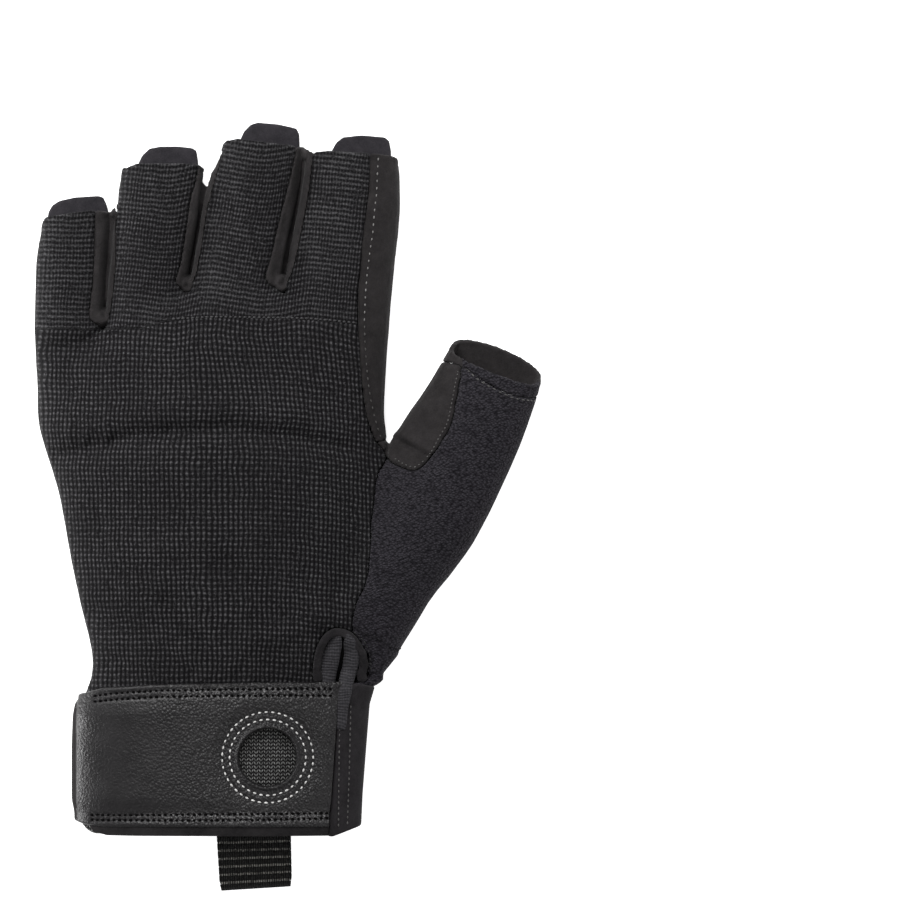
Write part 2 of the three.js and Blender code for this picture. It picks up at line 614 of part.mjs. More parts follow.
// Two small tape loops on the lower edge of the cuff band
for (const [name, u] of Object.entries(HANG_LOOP_US)) {
  const shape = new THREE.Shape();
  const halfWidth = HANG_LOOP_WIDTH / 2;
  const top = along(BAND_LOW_V) - SEAM_GAP;
  shape.moveTo(across(u) + halfWidth, top);
  shape.absellipse(across(u), top, halfWidth, HANG_LOOP_LENGTH, 0, -Math.PI, true);
  const gap = new THREE.Path();
  const gapY = top - HANG_LOOP_LENGTH * HANG_LOOP_GAP_SHARE;
  const gapReach = (HANG_LOOP_LENGTH - HANG_LOOP_TAPE) / 2;
  gap.absellipse(across(u), gapY, halfWidth - HANG_LOOP_TAPE, gapReach, 0, 2 * Math.PI);
  shape.holes.push(gap);
  const tape = new THREE.ExtrudeGeometry(shape, { depth: CLOTH, bevelEnabled: false, curveSegments: 10 });
  tape.translate(0, 0, CUFF_LIFT);
  keep(name, "webbing", toSolid(tape));
}

// A soft tab on the palm side of each finger's end
for (const [name, rows] of Object.entries(FINGERS)) {
  const end = rows.at(-1);
  const before = rows.at(-2);
  const tip = place([end.u, end.v]);
  const way = tip.clone().sub(place([before.u, before.v]));
  const fingerHalf = end.half * KNUCKLE_WIDTH;
  const halfWidth = fingerHalf * TABS[name].half;
  const farHalf = halfWidth * TAB_TAPER;
  const shape = new THREE.Shape();
  shape.moveTo(-halfWidth, SEAM_GAP);
  shape.lineTo(halfWidth, SEAM_GAP);
  shape.lineTo(farHalf, TAB_LENGTH - TAB_THUMB_CORNER);
  shape.quadraticCurveTo(farHalf, TAB_LENGTH, farHalf - TAB_THUMB_CORNER, TAB_LENGTH);
  shape.lineTo(TAB_OUTER_CORNER - farHalf, TAB_LENGTH);
  shape.quadraticCurveTo(-farHalf, TAB_LENGTH, -farHalf, TAB_LENGTH - TAB_OUTER_CORNER);
  const tab = new THREE.ExtrudeGeometry(shape, { depth: TAB, bevelEnabled: false, curveSegments: 4 });
  tab.translate(fingerHalf * TABS[name].shift, 0, 0);
  tab.rotateZ(-Math.atan2(way.x, way.y));
  tab.translate(tip.x, tip.y, 0);
  keep(`tab_${name}`, "microfibre", toSolid(tab));
}

const group = new THREE.Group();
for (const [name, { look, solid }] of pieces) {
  const material = new THREE.MeshStandardMaterial({ metalness: 0, ...LOOKS[look] });
  const mesh = new THREE.Mesh(toGeometry(solid), material);
  mesh.name = name;
  group.add(mesh);
}

// The origin is the middle of the whole glove's footprint, on the surface it lies on
const box = new THREE.Box3().setFromObject(group);
const centre = box.getCenter(new THREE.Vector3());
group.position.set(-centre.x, -centre.y, -box.min.z);
group.updateMatrixWorld(true);

export default group;
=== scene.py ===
import math

import bmesh
import bpy
import numpy as np
from mathutils import Matrix, Vector
from mathutils.bvhtree import BVHTree


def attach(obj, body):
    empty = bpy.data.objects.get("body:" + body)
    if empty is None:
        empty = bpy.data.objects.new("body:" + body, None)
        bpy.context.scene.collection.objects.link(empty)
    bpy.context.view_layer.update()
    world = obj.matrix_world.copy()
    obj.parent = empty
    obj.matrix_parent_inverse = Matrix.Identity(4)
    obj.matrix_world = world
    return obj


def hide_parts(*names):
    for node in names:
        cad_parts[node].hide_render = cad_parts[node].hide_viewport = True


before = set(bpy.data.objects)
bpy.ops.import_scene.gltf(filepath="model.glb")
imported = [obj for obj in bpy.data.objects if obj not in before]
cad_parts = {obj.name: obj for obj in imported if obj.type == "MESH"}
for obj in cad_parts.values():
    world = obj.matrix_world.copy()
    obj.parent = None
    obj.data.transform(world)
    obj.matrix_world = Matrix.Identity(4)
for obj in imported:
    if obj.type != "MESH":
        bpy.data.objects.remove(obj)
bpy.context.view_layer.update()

# The sewn body
# The cloth and suede panels of a glove are sewn into one hollow skin before the strap goes on. Here that skin
# is one soft shell round the whole hand, relaxed as empty cloth is, and each panel takes its curves from it.
MM = 0.001
BODY_NODES = (
    "back_panel", "palm_panel", "palm_patch", "index_side", "fourchette_little_ring", "fourchette_ring_middle",
    "fourchette_middle_index", "thumb_front", "thumb_back", "thumb_hem", "cuff_band", "strap_base",
)
BODY_VOXEL = 1.2 * MM
# Rounds that relax the skin, rounds that even out where it moved as a whole, and the farthest that it may move
BODY_ROUNDS, BODY_LEVEL_ROUNDS, BODY_REACH = 26, 160, 0.55 * MM


def linked(name, mesh):
    piece = bpy.data.objects.new(name, mesh)
    bpy.context.scene.collection.objects.link(piece)
    return piece


def applied(piece):
    """Turns the piece and its modifiers into a plain mesh."""
    graph = bpy.context.evaluated_depsgraph_get()
    mesh = bpy.data.meshes.new_from_object(piece.evaluated_get(graph), depsgraph=graph)
    piece.modifiers.clear()
    piece.data = mesh
    return piece


def made_from(shape, name):
    """A piece with the mesh that was built up in shape."""
    mesh = bpy.data.meshes.new(name)
    shape.to_mesh(mesh)
    shape.free()
    return linked(name, mesh)


def remeshed(piece, voxel):
    """The piece as one even closed skin."""
    remesh = piece.modifiers.new("remesh", "REMESH")
    remesh.mode = "VOXEL"
    remesh.voxel_size = voxel
    remesh.use_smooth_shade = True
    return applied(piece)


def skin(name, nodes, voxel, plugs=()):
    """One closed skin round copies of these solids, and round egg-shaped plugs, given by centre and radii."""
    shape = bmesh.new()
    for node in nodes:
        shape.from_mesh(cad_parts[node].data)
    bmesh.ops.remove_doubles(shape, verts=shape.verts, dist=0.001 * MM)
    for centre, radii in plugs:
        place = Matrix.Translation(centre) @ Matrix.Diagonal((*radii, 1))
        bmesh.ops.create_uvsphere(shape, u_segments=24, v_segments=16, radius=1, matrix=place)
    return remeshed(made_from(shape, name), voxel)


def values_of(items, key, width=3, kind=float):
    """One value of each vertex, edge or face, as rows."""
    flat = np.empty(width * len(items), kind)
    items.foreach_get(key, flat)
    return flat.reshape(-1, width)


def points_of(piece):
    return values_of(piece.data.vertices, "co")


def put_points(piece, points):
    piece.data.vertices.foreach_set("co", points.ravel())
    piece.data.update()


def normals_of(piece):
    return values_of(piece.data.vertex_normals, "vector")


def edges_of(piece):
    return values_of(piece.data.edges, "vertices", 2, np.int32)


def triangles_of(piece):
    piece.data.calc_loop_triangles()
    return values_of(piece.data.loop_triangles, "vertices", 3, np.int32)


def surface_of(piece):
    return BVHTree.FromPolygons(points_of(piece).tolist(), triangles_of(piece).tolist())


def relaxed(points, edges, rounds, shares=(0.5,)):
    """Pulls each point to the middle of its neighbours, or away from it where a share is below zero."""
    count = len(points)
    ends = np.concatenate([edges[:, 0], edges[:, 1]])
    others = np.concatenate([edges[:, 1], edges[:, 0]])
    degree = np.maximum(np.bincount(ends, minlength=count), 1)[:, None]
    for turn in range(rounds * len(shares)):
        total = np.stack([np.bincount(ends, points[others, k], count) for k in range(3)], 1)
        points = points + shares[turn % len(shares)] * (total / degree - points)
    return points


body = skin("body_skin", BODY_NODES, BODY_VOXEL)
body_start, body_edges, body_faces = points_of(body), edges_of(body), triangles_of(body)
body_move = relaxed(body_start, body_edges, BODY_ROUNDS) - body_start
body_move = body_move - relaxed(body_move, body_edges, BODY_LEVEL_ROUNDS)
body_length = np.linalg.norm(body_move, axis=1)[:, None]
body_move *= np.minimum(1, BODY_REACH / np.maximum(body_length, 1e-9))
body_tree = surface_of(body)
bpy.data.objects.remove(body)


def carried(points):
    """Moves points with the body's skin, as it relaxes."""
    found = [body_tree.find_nearest(point) for point in points.tolist()]
    hits = np.array([hit[0] for hit in found])
    corners = body_faces[[hit[2] for hit in found]]
    first, second, third = (body_start[corners[:, k]] for k in range(3))
    one, two, way = second - first, third - first, hits - first
    dots = [np.einsum("ij,ij->i", a, b) for a, b in ((one, one), (one, two), (two, two), (way, one), (way, two))]
    area = np.maximum(dots[0] * dots[2] - dots[1] ** 2, 1e-30)
    share_two = (dots[2] * dots[3] - dots[1] * dots[4]) / area
    share_three = (dots[0] * dots[4] - dots[1] * dots[3]) / area
    shares = np.stack([1 - share_two - share_three, share_two, share_three], 1)
    return points + np.einsum("ij,ijk->ik", shares, body_move[corners])


# The woven back
# One panel of stretch cloth covers the back of the hand and of the four fingers. It is a close weave with rows
# of small raised floats, sewn to the suede at its sides and turned in at the fingers' open ends.
PIXEL = 0.267 * MM
PHOTO_ORIGIN = (288.5, 506)
CLOTH_VOXEL = 0.6 * MM
SEAM_CLOSE = 0.11 * MM
WEAVE_ROW = 1.36 * MM
WEAVE_COLUMN = 0.85 * MM
WEAVE_BRIDGE = 0.26
# How much wider than on the fingers the columns and rows are below the knuckles' row of stitches
HAND_LOOSE = (0.3, 0.06)
# The rows there sag towards the thumb: how much, and from what place across
ROW_SAG, SAG_START = 0.0028, -12
KNUCKLE_ROW = ((140, 329.5), (155, 325), (175, 319.5), (215, 317.5), (262, 318), (310, 319), (354, 323))
WEAVE_DARK = (0.0028, 0.0025, 0.003)
WEAVE_FLOAT = (0.067, 0.066, 0.069)
# Creases and soft swells of the back: places in the photograph, half width and depth in millimetres
BACK_FOLDS = (
    (((60, 455), (104, 446), (132, 438), (174, 432), (230, 430), (290, 436), (352, 450)), 2.3, -1.3),
    (((60, 432), (104, 424), (160, 413), (230, 408), (300, 414)), 4.6, 0.9),
    (((36, 352), (60, 347), (96, 340), (140, 330)), 1.8, -0.7),
    (((46, 372), (100, 362), (170, 352), (240, 345)), 3.4, 0.45),
    (((96, 610), (150, 640), (190, 672)), 2.6, -0.8),
    (((170, 600), (215, 650), (235, 676)), 2.6, -0.8),
    (((130, 590), (200, 632), (232, 662)), 3.0, 0.7),
    (((228, 560), (272, 610), (318, 634)), 3.4, -0.7),
    (((250, 640), (300, 628), (322, 615)), 3.0, 0.6),
    (((110, 560), (180, 548), (250, 560)), 4.0, 0.5),
)
# Each finger's middle and root in the frame, half its width, in millimetres, and its lean in degrees
FINGER_LEANS = ((-58.4, 44, 10, 2.6), (-37.9, 54, 11, 7.2), (-13.5, 57, 12, 10.5), (14.5, 55, 15, 6.5))
LEAN_RISE, FINGER_REACH = 26, 1.15
# How far the columns draw in below a height where the cloth turns down: at a finger's sides, and on the hand
FINGER_TURN, FINGER_TURN_HEIGHT = 0.35, 13
HAND_TURN, HAND_TURN_HEIGHT, HAND_MIDDLE, HAND_SPREAD, HAND_TOP = 0.25, 14, -20, 12, 28
# How much less the floats run together on the hand than on the fingers
FLOAT_MERGE_LOW = 0.8
# Open end of each finger in the photograph: where it starts, the solid's end line as a place and its slope, and
# the sewn end's own line, with its rounded corners
FINGER_ENDS = (
    (0, (75, 214.2), 0.063, ((40, 228), (42, 221.5), (46, 217), (70, 213.5), (93, 210.5), (103, 211.5), (110, 212.5),
                             (116, 213.5))),
    (112.5, (163.4, 165.5), 0.114, ((119.5, 172), (121.5, 168), (126, 167.5), (130, 166), (137, 163.7), (198, 163.7),
                                  (203, 167.5), (207.5, 174), (209, 177))),
    (211, (262, 144.8), 0.195, ((219.5, 150), (222, 143.5), (228, 139.8), (238, 138.8), (270, 143), (298, 146.8),
                                  (303, 150), (308, 151))),
    (308.5, (353.1, 155.2), 0.067, ((309, 151.2), (315, 152), (329, 151.1), (390, 155.4), (397, 157.5), (401, 160.5),
                                    (403.5, 166))),
)
END_REACH = 52
SWELL_FADE = 5 * MM
# Sideways shifts of the gaps between the fingers: place, reach across and down, and shift, in pixels
GAP_SHIFTS = ((104, 225, 15, 70, 4.0), (291, 160, 13, 50, 6.0), (317, 158, 9, 36, -2.0))
# How far the wrist's thumb side stands out: heights in the photograph, and pixels. Then its shares: how much,
# from where across the photograph, and over how many pixels
WRIST_FLARE = ((590, 0), (603, 1.5), (613, 4.6), (624, 7.9), (639, 12.4), (648, 15.2), (650.5, 19.6), (656, 20.2),
               (664, 18.8), (673, 16), (682, 19.5), (690, 17), (700, 9), (716, 0))
FLARE_SHARES = ((0.35, 335, 15), (0.65, 360, 5))


def plan(place):
    """A place seen in the photograph, in the frame's plan."""
    return ((place[0] - PHOTO_ORIGIN[0]) * PIXEL, (PHOTO_ORIGIN[1] - place[1]) * PIXEL)


def seen(points):
    """How far across and down the photograph points are seen."""
    return points[:, 0] / PIXEL + PHOTO_ORIGIN[0], PHOTO_ORIGIN[1] - points[:, 1] / PIXEL


def smooth_step(values):
    values = np.clip(values, 0, 1)
    return values * values * (3 - 2 * values)


def with_ends(points):
    """Gives the fingers' open ends the slant and the rounded corners that they are sewn with."""
    across, down = seen(points)
    points = points.copy()
    starts = [end[0] for end in FINGER_ENDS] + [math.inf]
    for (start, place, slope, line), stop in zip(FINGER_ENDS, starts[1:]):
        solid_end = place[1] + slope * (across - place[0])
        shift = np.interp(across, *np.array(line).T) - solid_end
        share = smooth_step((solid_end + END_REACH - down) / END_REACH) * ((across >= start) & (across < stop))
        points[:, 1] -= shift * share * PIXEL
    for x, y, wide, tall, shift in GAP_SHIFTS:
        near = np.exp(-(((across - x) / wide) ** 2) - ((down - y) / tall) ** 2)
        points[:, 0] += shift * PIXEL * near
    return points


def flared(points):
    """Lets the panels stand out at the thumb's side of the wrist, where they meet the cuff."""
    across, down = seen(points)
    points = points.copy()
    share = sum(part * smooth_step((across - start) / reach) for part, start, reach in FLARE_SHARES)
    points[:, 0] += np.interp(down, *np.array(WRIST_FLARE).T) * PIXEL * share
    return points


def from_line(points, line):
    """Each point's distance in plan from a line."""
    best = np.full(len(points), np.inf)
    for start, end in zip(line[:-1], line[1:]):
        start, way = np.array(start), np.array(end) - np.array(start)
        share = np.clip(((points[:, :2] - start) @ way) / (way @ way), 0, 1)
        best = np.minimum(best, np.linalg.norm(points[:, :2] - start - share[:, None] * way, axis=1))
    return best


def flowing(line, step=1.0 * MM):
    """A smooth line through a few places, with a point about every step."""
    knots = np.array(line, float)
    padded = np.vstack([2 * knots[0] - knots[1], knots, 2 * knots[-1] - knots[-2]])
    rows = []
    for k in range(len(knots) - 1):
        a, b, c, d = padded[k:k + 4]
        count = max(2, int(np.linalg.norm(c - b) / step))
        for t in np.linspace(0, 1, count, endpoint=False):
            bends = (2 * b, c - a, 2 * a - 5 * b + 4 * c - d, 3 * b - a - 3 * c + d)
            rows.append(0.5 * (bends[0] + bends[1] * t + bends[2] * t**2 + bends[3] * t**3))
    return np.array(rows + [knots[-1]])


def off_table(points):
    """Keeps points from going below the surface that the glove lies on."""
    points[:, 2] = np.maximum(points[:, 2], 0)
    return points


def panel(name, node, voxel=CLOTH_VOXEL, rounds=8, plugs=()):
    """A soft panel with rounded edges in the place of its solid."""
    piece = skin(name, [node], voxel, plugs)
    points = relaxed(carried(points_of(piece)), edges_of(piece), rounds, (0.5, -0.51))
    put_points(piece, points)
    put_points(piece, off_table(flared(with_ends(points + SEAM_CLOSE * normals_of(piece)))))
    return piece


def fading(far, half):
    """One on a line, and less with the distance from it."""
    return np.exp(-(far / half) ** 2)


def press(piece, line, half, depth, facing=1):
    """Presses a line into the side of a panel that faces up, or down where facing is -1."""
    points, normals = points_of(piece), normals_of(piece)
    near = fading(from_line(points, line), half * MM)
    outer = smooth_step(normals[:, 2] * facing * 4)
    put_points(piece, points - (depth * MM * near * outer)[:, None] * normals)


def swell(piece, folds, low):
    """Lifts or lowers a panel along its folds, fading out below a height."""
    points = points_of(piece)
    high = smooth_step((points[:, 2] - low) / SWELL_FADE)
    for line, half, lift in folds:
        far = from_line(points, [plan(place) for place in line])
        points[:, 2] += lift * MM * high * fading(far, half * MM)
    put_points(piece, points)


def lean(points):
    """How far across and along the cloth each point is, as its rows turn with each finger, and how far its dots
    run together there."""
    x, y, z = (points / MM).T
    across, along = x.copy(), y.copy()
    for middle, root, half, angle in FINGER_LEANS:
        inside = np.exp(-(((x - middle) / (half * FINGER_REACH)) ** 4))
        share = inside * smooth_step((y - root + LEAN_RISE) / LEAN_RISE)
        turn = math.radians(angle)
        across += share * ((x - middle) * (math.cos(turn) - 1) - (y - root) * math.sin(turn))
        along += share * ((x - middle) * math.sin(turn) + (y - root) * (math.cos(turn) - 1))
        across -= share * FINGER_TURN * np.sign(x - middle) * np.maximum(0, FINGER_TURN_HEIGHT - z)
    hand = 1 - smooth_step((y - HAND_TOP) / LEAN_RISE)
    across -= hand * HAND_TURN * np.tanh((x - HAND_MIDDLE) / HAND_SPREAD) * np.maximum(0, z - HAND_TURN_HEIGHT)
    seam = np.interp(x, *(np.array([plan(place) for place in KNUCKLE_ROW]).T / MM))
    loose = np.where(y < seam, 1, 0)
    along += loose * ROW_SAG * np.maximum(0, x - SAG_START) ** 2
    across, along = across * (1 - HAND_LOOSE[0] * loose), along * (1 - HAND_LOOSE[1] * loose)
    return np.stack([across * MM, along * MM, 1 - FLOAT_MERGE_LOW * loose], 1)


def add_node(tree, kind, inputs=None, **settings):
    """A node with its settings, and its inputs set to values or joined to sockets."""
    node = tree.nodes.new(kind)
    for key, value in settings.items():
        setattr(node, key, value)
    for key, value in (inputs or {}).items():
        if isinstance(value, bpy.types.NodeSocket):
            tree.links.new(value, node.inputs[key])
        else:
            node.inputs[key].default_value = value
    return node


class Finish:
    """A material that is reckoned from the piece's own coordinates, with its constants on the shader's sockets."""

    def __init__(self, name, roughness, sheen=0.0, specular=0.3):
        self.made = bpy.data.materials.new(name)
        self.made.use_nodes = True
        self.tree = self.made.node_tree
        self.inputs = self.tree.nodes["Principled BSDF"].inputs
        self.inputs["Roughness"].default_value = roughness
        self.inputs["Sheen Weight"].default_value = sheen
        self.inputs["Sheen Roughness"].default_value = 0.4
        self.inputs["Specular IOR Level"].default_value = specular

    def node(self, kind, inputs=None, output=0, **settings):
        return add_node(self.tree, "ShaderNode" + kind, inputs, **settings).outputs[output]

    def place(self):
        return self.node("TexCoord", output="Object")

    def parts(self, vector):
        return add_node(self.tree, "ShaderNodeSeparateXYZ", {0: vector}).outputs

    def math(self, operation, first, second=0.0, clamp=False):
        return self.node("Math", {0: first, 1: second}, operation=operation, use_clamp=clamp)

    def plus(self, first, second):
        return self.math("ADD", first, second)

    def times(self, first, second, clamp=False):
        return self.math("MULTIPLY", first, second, clamp)

    def wave(self, value, pitch, form="SINE"):
        return self.math(form, self.times(value, 2 * math.pi / pitch))

    def span(self, value, low, high, to_low=0.0, to_high=1.0):
        return self.node("MapRange", {0: value, 1: low, 2: high, 3: to_low, 4: to_high})

    def vector(self, operation, first, inputs):
        return self.node("VectorMath", {0: first, **inputs}, operation=operation)

    def mottle(self, size, detail=2.0, rough=0.5):
        """Soft noise with blotches of about this size in metres."""
        return self.node("TexNoise", {"Vector": self.place(), "Scale": 1 / size, "Detail": detail, "Roughness": rough})

    def between(self, share, low, high):
        low, high = ((*tone, 1) if isinstance(tone, tuple) else tone for tone in (low, high))
        return self.node("Mix", {0: share, 6: low, 7: high}, 2, data_type="RGBA")

    def finished(self, colour, height, distance, strength=1.0):
        """The material with this colour, and with a height that stands in relief."""
        self.tree.links.new(colour, self.inputs["Base Color"])
        bump = self.node("Bump", {"Height": height, "Distance": distance, "Strength": strength})
        self.tree.links.new(bump, self.inputs["Normal"])
        return self.made


def woven_look():
    cloth = Finish("woven_stretch_cloth", 0.8, sheen=0.02, specular=0.06)
    wander = cloth.node("TexNoise", {"Vector": cloth.place(), "Scale": 160.0, "Detail": 2.0}, "Color")
    stray = cloth.vector("SCALE", cloth.vector("SUBTRACT", wander, {1: (0.5, 0.5, 0.5)}), {"Scale": 0.9 * MM})
    laid = cloth.node("Attribute", output="Vector", attribute_name="weave_place")
    across, along, close = cloth.parts(cloth.vector("ADD", laid, {1: stray}))
    column = cloth.span(cloth.wave(across, WEAVE_COLUMN, "COSINE"), -0.8, 0.9)
    row = cloth.span(cloth.wave(along, WEAVE_ROW, "COSINE"), -0.7, 0.8)
    merge = cloth.times(cloth.span(cloth.mottle(11 * MM, 1.0), 0.35, 0.65, 0.2, 0.6), close)
    thread = cloth.times(row, cloth.math("MAXIMUM", column, merge))
    knot = cloth.math("MAXIMUM", thread, cloth.times(column, WEAVE_BRIDGE))
    uneven = cloth.span(cloth.mottle(0.55 * MM, 2.0, 0.6), 0.34, 0.66, 0.12, 1.3)
    patch = cloth.span(cloth.mottle(16 * MM), 0.3, 0.7, 0.75, 1.1)
    bright = cloth.times(knot, cloth.times(uneven, patch), clamp=True)
    return cloth.finished(cloth.between(bright, WEAVE_DARK, WEAVE_FLOAT), knot, 0.28 * MM, 0.7)


def row_tree(name, sizes, material, form):
    """Geometry nodes that lay one form along each line at an even pitch. The form gives its shape, turn and size."""
    tree = bpy.data.node_groups.new(name, "GeometryNodeTree")
    for word, kind in {"Line": "Geometry", "Pitch": "Float", **sizes}.items():
        tree.interface.new_socket(word, in_out="INPUT", socket_type="NodeSocket" + kind)
    tree.interface.new_socket("Rows", in_out="OUTPUT", socket_type="NodeSocketGeometry")
    given = add_node(tree, "NodeGroupInput").outputs
    line = add_node(tree, "GeometryNodeMeshToCurve", {0: given["Line"]}).outputs[0]
    steps = add_node(tree, "GeometryNodeResampleCurve", {"Curve": line, "Length": given["Pitch"]}, mode="LENGTH")
    shape, turn, size = form(tree, given, add_node(tree, "GeometryNodeInputTangent").outputs[0])
    row = add_node(tree, "GeometryNodeInstanceOnPoints", {
        "Points": steps.outputs[0], "Instance": shape, "Rotation": turn, "Scale": size})
    solid = add_node(tree, "GeometryNodeRealizeInstances", {0: row.outputs[0]})
    dyed = add_node(tree, "GeometryNodeSetMaterial", {"Geometry": solid.outputs[0], "Material": material})
    add_node(tree, "NodeGroupOutput", {0: dyed.outputs[0]})
    return tree


def stitch_form(tree, given, along):
    """A small egg that lies along its row, on the side that the facing gives, and varies a little in size."""
    facing = add_node(tree, "GeometryNodeInputNamedAttribute", {"Name": "facing"}, data_type="FLOAT_VECTOR").outputs[0]
    laid = add_node(tree, "FunctionNodeAlignRotationToVector", {"Vector": along}, axis="X")
    turned = add_node(tree, "FunctionNodeAlignRotationToVector", {"Rotation": laid.outputs[0], "Vector": facing},
                      axis="Z", pivot_axis="X")
    stitch = add_node(tree, "GeometryNodeMeshUVSphere", {"Segments": 8, "Rings": 5, "Radius": 0.5})
    smooth = add_node(tree, "GeometryNodeSetShadeSmooth", {0: stitch.outputs[0]})
    size = add_node(tree, "ShaderNodeCombineXYZ", {0: given["Length"], 1: given["Width"], 2: given["Thickness"]})
    uneven = add_node(tree, "FunctionNodeRandomValue", {"Min": 0.86, "Max": 1.1, "Seed": 4}, data_type="FLOAT")
    share = [out for out in uneven.outputs if out.enabled][0]
    scale = add_node(tree, "ShaderNodeVectorMath", {0: size.outputs[0], "Scale": share}, operation="SCALE")
    return smooth.outputs[0], turned.outputs[0], scale.outputs[0]


def thread(name, colour, roughness=0.6, specular=0.3):
    """The geometry nodes for rows of stitches in a thread of this colour."""
    yarn = Finish(name, roughness, sheen=0.02, specular=specular)
    twist = yarn.mottle(0.25 * MM, 2.0, 0.6)
    dark = tuple(0.45 * part for part in colour)
    material = yarn.finished(yarn.between(yarn.span(twist, 0.35, 0.65), dark, colour), twist, 0.06 * MM, 0.6)
    return row_tree(name + "_rows", {"Length": "Float", "Width": "Float", "Thickness": "Float"}, material, stitch_form)


def with_rows(piece, tree, *sizes):
    """Runs the geometry nodes on a piece with these sizes, and keeps the result as its mesh."""
    nodes = piece.modifiers.new("rows", "NODES")
    nodes.node_group = tree
    inputs = [item.identifier for item in tree.interface.items_tree if item.in_out == "INPUT"][1:]
    for identifier, size in zip(inputs, sizes):
        nodes[identifier] = size
    return applied(piece)


def laid_on(surfaces, line, facing=1):
    """Drops a line given in plan onto the first surface that it meets, from above or from below."""
    places, normals = [], []
    for x, y in line:
        found = [tree.ray_cast((x, y, 0.1 * facing), (0, 0, -facing)) for tree in surfaces]
        found = [hit for hit in found if hit[0] is not None]
        if found:
            hit = max(found, key=lambda one: one[0][2] * facing)
            places.append(hit[0])
            normals.append(hit[1] if hit[1][2] * facing > 0 else -hit[1])
    return np.array(places), np.array(normals)


def dressed(piece, slot, node=None, *materials):
    """Gives a finished piece its materials, in the place of its solid where it has one, and hangs it under the root.
    Its slot is not used.
    """
    for material in materials:
        piece.data.materials.append(material)
    if node:
        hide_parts(node)
    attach(piece, "root")
    return piece


def sewn(name, rows, tree, slot, pitch, length, width, thickness, sunk=0.1, ring=False):
    """Rows of stitches as one piece. Each row is its places and the way that the surface faces there. The sizes
    are in millimetres, and sunk is how deep a stitch's underside lies in the surface."""
    shape = bmesh.new()
    facing = shape.verts.layers.float_vector.new("facing")
    for places, normals in rows:
        verts = [shape.verts.new(place) for place in places + (thickness * 0.5 - sunk) * MM * normals]
        for vert, normal in zip(verts, normals):
            vert[facing] = normal
        for pair in zip(verts, verts[1:] + verts[:1] * ring):
            shape.edges.new(pair)
    piece = with_rows(made_from(shape, name), tree, pitch * MM, length * MM, width * MM, thickness * MM)
    put_points(piece, off_table(points_of(piece)))
    return dressed(piece, slot)


def in_photo(*places):
    """A smooth line in plan through places of the photograph."""
    return flowing([plan(place) for place in places])


black_thread = thread("black_thread", (0.02, 0.0195, 0.02), 0.45)
grey_thread = thread("grey_thread", (0.24, 0.235, 0.23))
dull_thread = thread("dull_thread", (0.085, 0.082, 0.08))
cloth_thread = thread("cloth_thread", (0.05, 0.049, 0.051))
back = panel("back_cloth", "back_panel")
swell(back, BACK_FOLDS, 9 * MM)
press(back, in_photo(*KNUCKLE_ROW), 0.55, 0.22)
sewn("knuckle_stitches", [laid_on([surface_of(back)], in_photo(*KNUCKLE_ROW[2:]))], cloth_thread, "woven",
     1.25, 0.9, 0.55, 0.5)
weave_place = back.data.attributes.new("weave_place", "FLOAT_VECTOR", "POINT")
weave_place.data.foreach_set("vector", lean(points_of(back)).astype(np.float32).ravel())
dressed(back, "woven", "back_panel", woven_look())

# Suede strips between the fingers
# A long strip of brushed suede runs down each gap between two fingers. It is folded along its middle, so a
# dark crease runs from the fingers' ends to the rounded root of the gap.
# Each gap's crease, then its rounded root and its open end: place in the photograph, height and radii in millimetres
STRIPS = {
    "little_ring": (((110, 205), (109, 232), (106, 270), (105, 316)),
                    ((101.5, 319.5), 8.4, (2.5, 2.6, 3.3)), ((112, 217.5), 6.8, (1.6, 1.3, 3))),
    "ring_middle": (((212, 175), (205, 205), (193, 255), (188, 286)),
                    ((187, 285.5), 9.0, (2.3, 2.6, 3.5)), ((211.5, 186.5), 6.8, (1.1, 1.3, 3))),
    "middle_index": (((302, 140), (297, 200), (290, 260), (283, 284)),
                     ((280.5, 285), 9.2, (2.5, 2.7, 3.5)), ((301.5, 158), 7.2, (2.3, 2.2, 3.6))),
}


def suede_look(name, dark, light):
    suede = Finish(name, 0.92, sheen=0.05, specular=0.04)
    nap = suede.mottle(0.42 * MM, 3.0, 0.65)
    tone = suede.times(suede.plus(nap, suede.mottle(5 * MM, 3.0)), 0.5)
    tone = suede.plus(suede.times(tone, 0.75), suede.times(suede.mottle(1.6 * MM), 0.25))
    return suede.finished(suede.between(suede.span(tone, 0.34, 0.66), dark, light), nap, 0.22 * MM, 0.7)


suede = suede_look("brushed_suede", (0.0128, 0.0117, 0.012), (0.0275, 0.0252, 0.0257))
# A lighter copy of the suede for the strips: painted light, to make up for the shade that falls between the fingers
lightened_strip_suede = suede_look("brushed_suede_painted_lighter", (0.0165, 0.0152, 0.0156), (0.036, 0.0333, 0.034))
for gap, (crease, *ends) in STRIPS.items():
    plugs = [((*plan(place), height * MM), np.array(radii) * MM) for place, height, radii in ends]
    strip = panel("finger_strip_" + gap, "fourchette_" + gap, 0.4 * MM, plugs=plugs)
    swell(strip, [(crease, 1.0, -1.9)], -5 * MM)
    dressed(strip, "suede", "fourchette_" + gap, lightened_strip_suede)

# Forefinger side, thumb front and hem
# Suede closes the outer side of the forefinger, wraps over the front of the thumb with a gusset at its root,
# and is turned over as a hem at the thumb's open end.

# The far lip of the thumb's open end: its corner in the photograph, a place where the arch starts, its length, its
# direction across and outwards, its rise and over how much it grows, in pixels, and the height that it fades out at
HEM_CORNER, HEM_LOW, HEM_WIDE = (447, 348), (443.7, 363), 105
HEM_ACROSS, HEM_OUT = np.array((0.965, 0.262)), np.array((0.262, -0.965))
HEM_ARCH, HEM_GROW = 12, 15
HEM_FADE, HEM_FADE_REACH = 5.5, 2.5


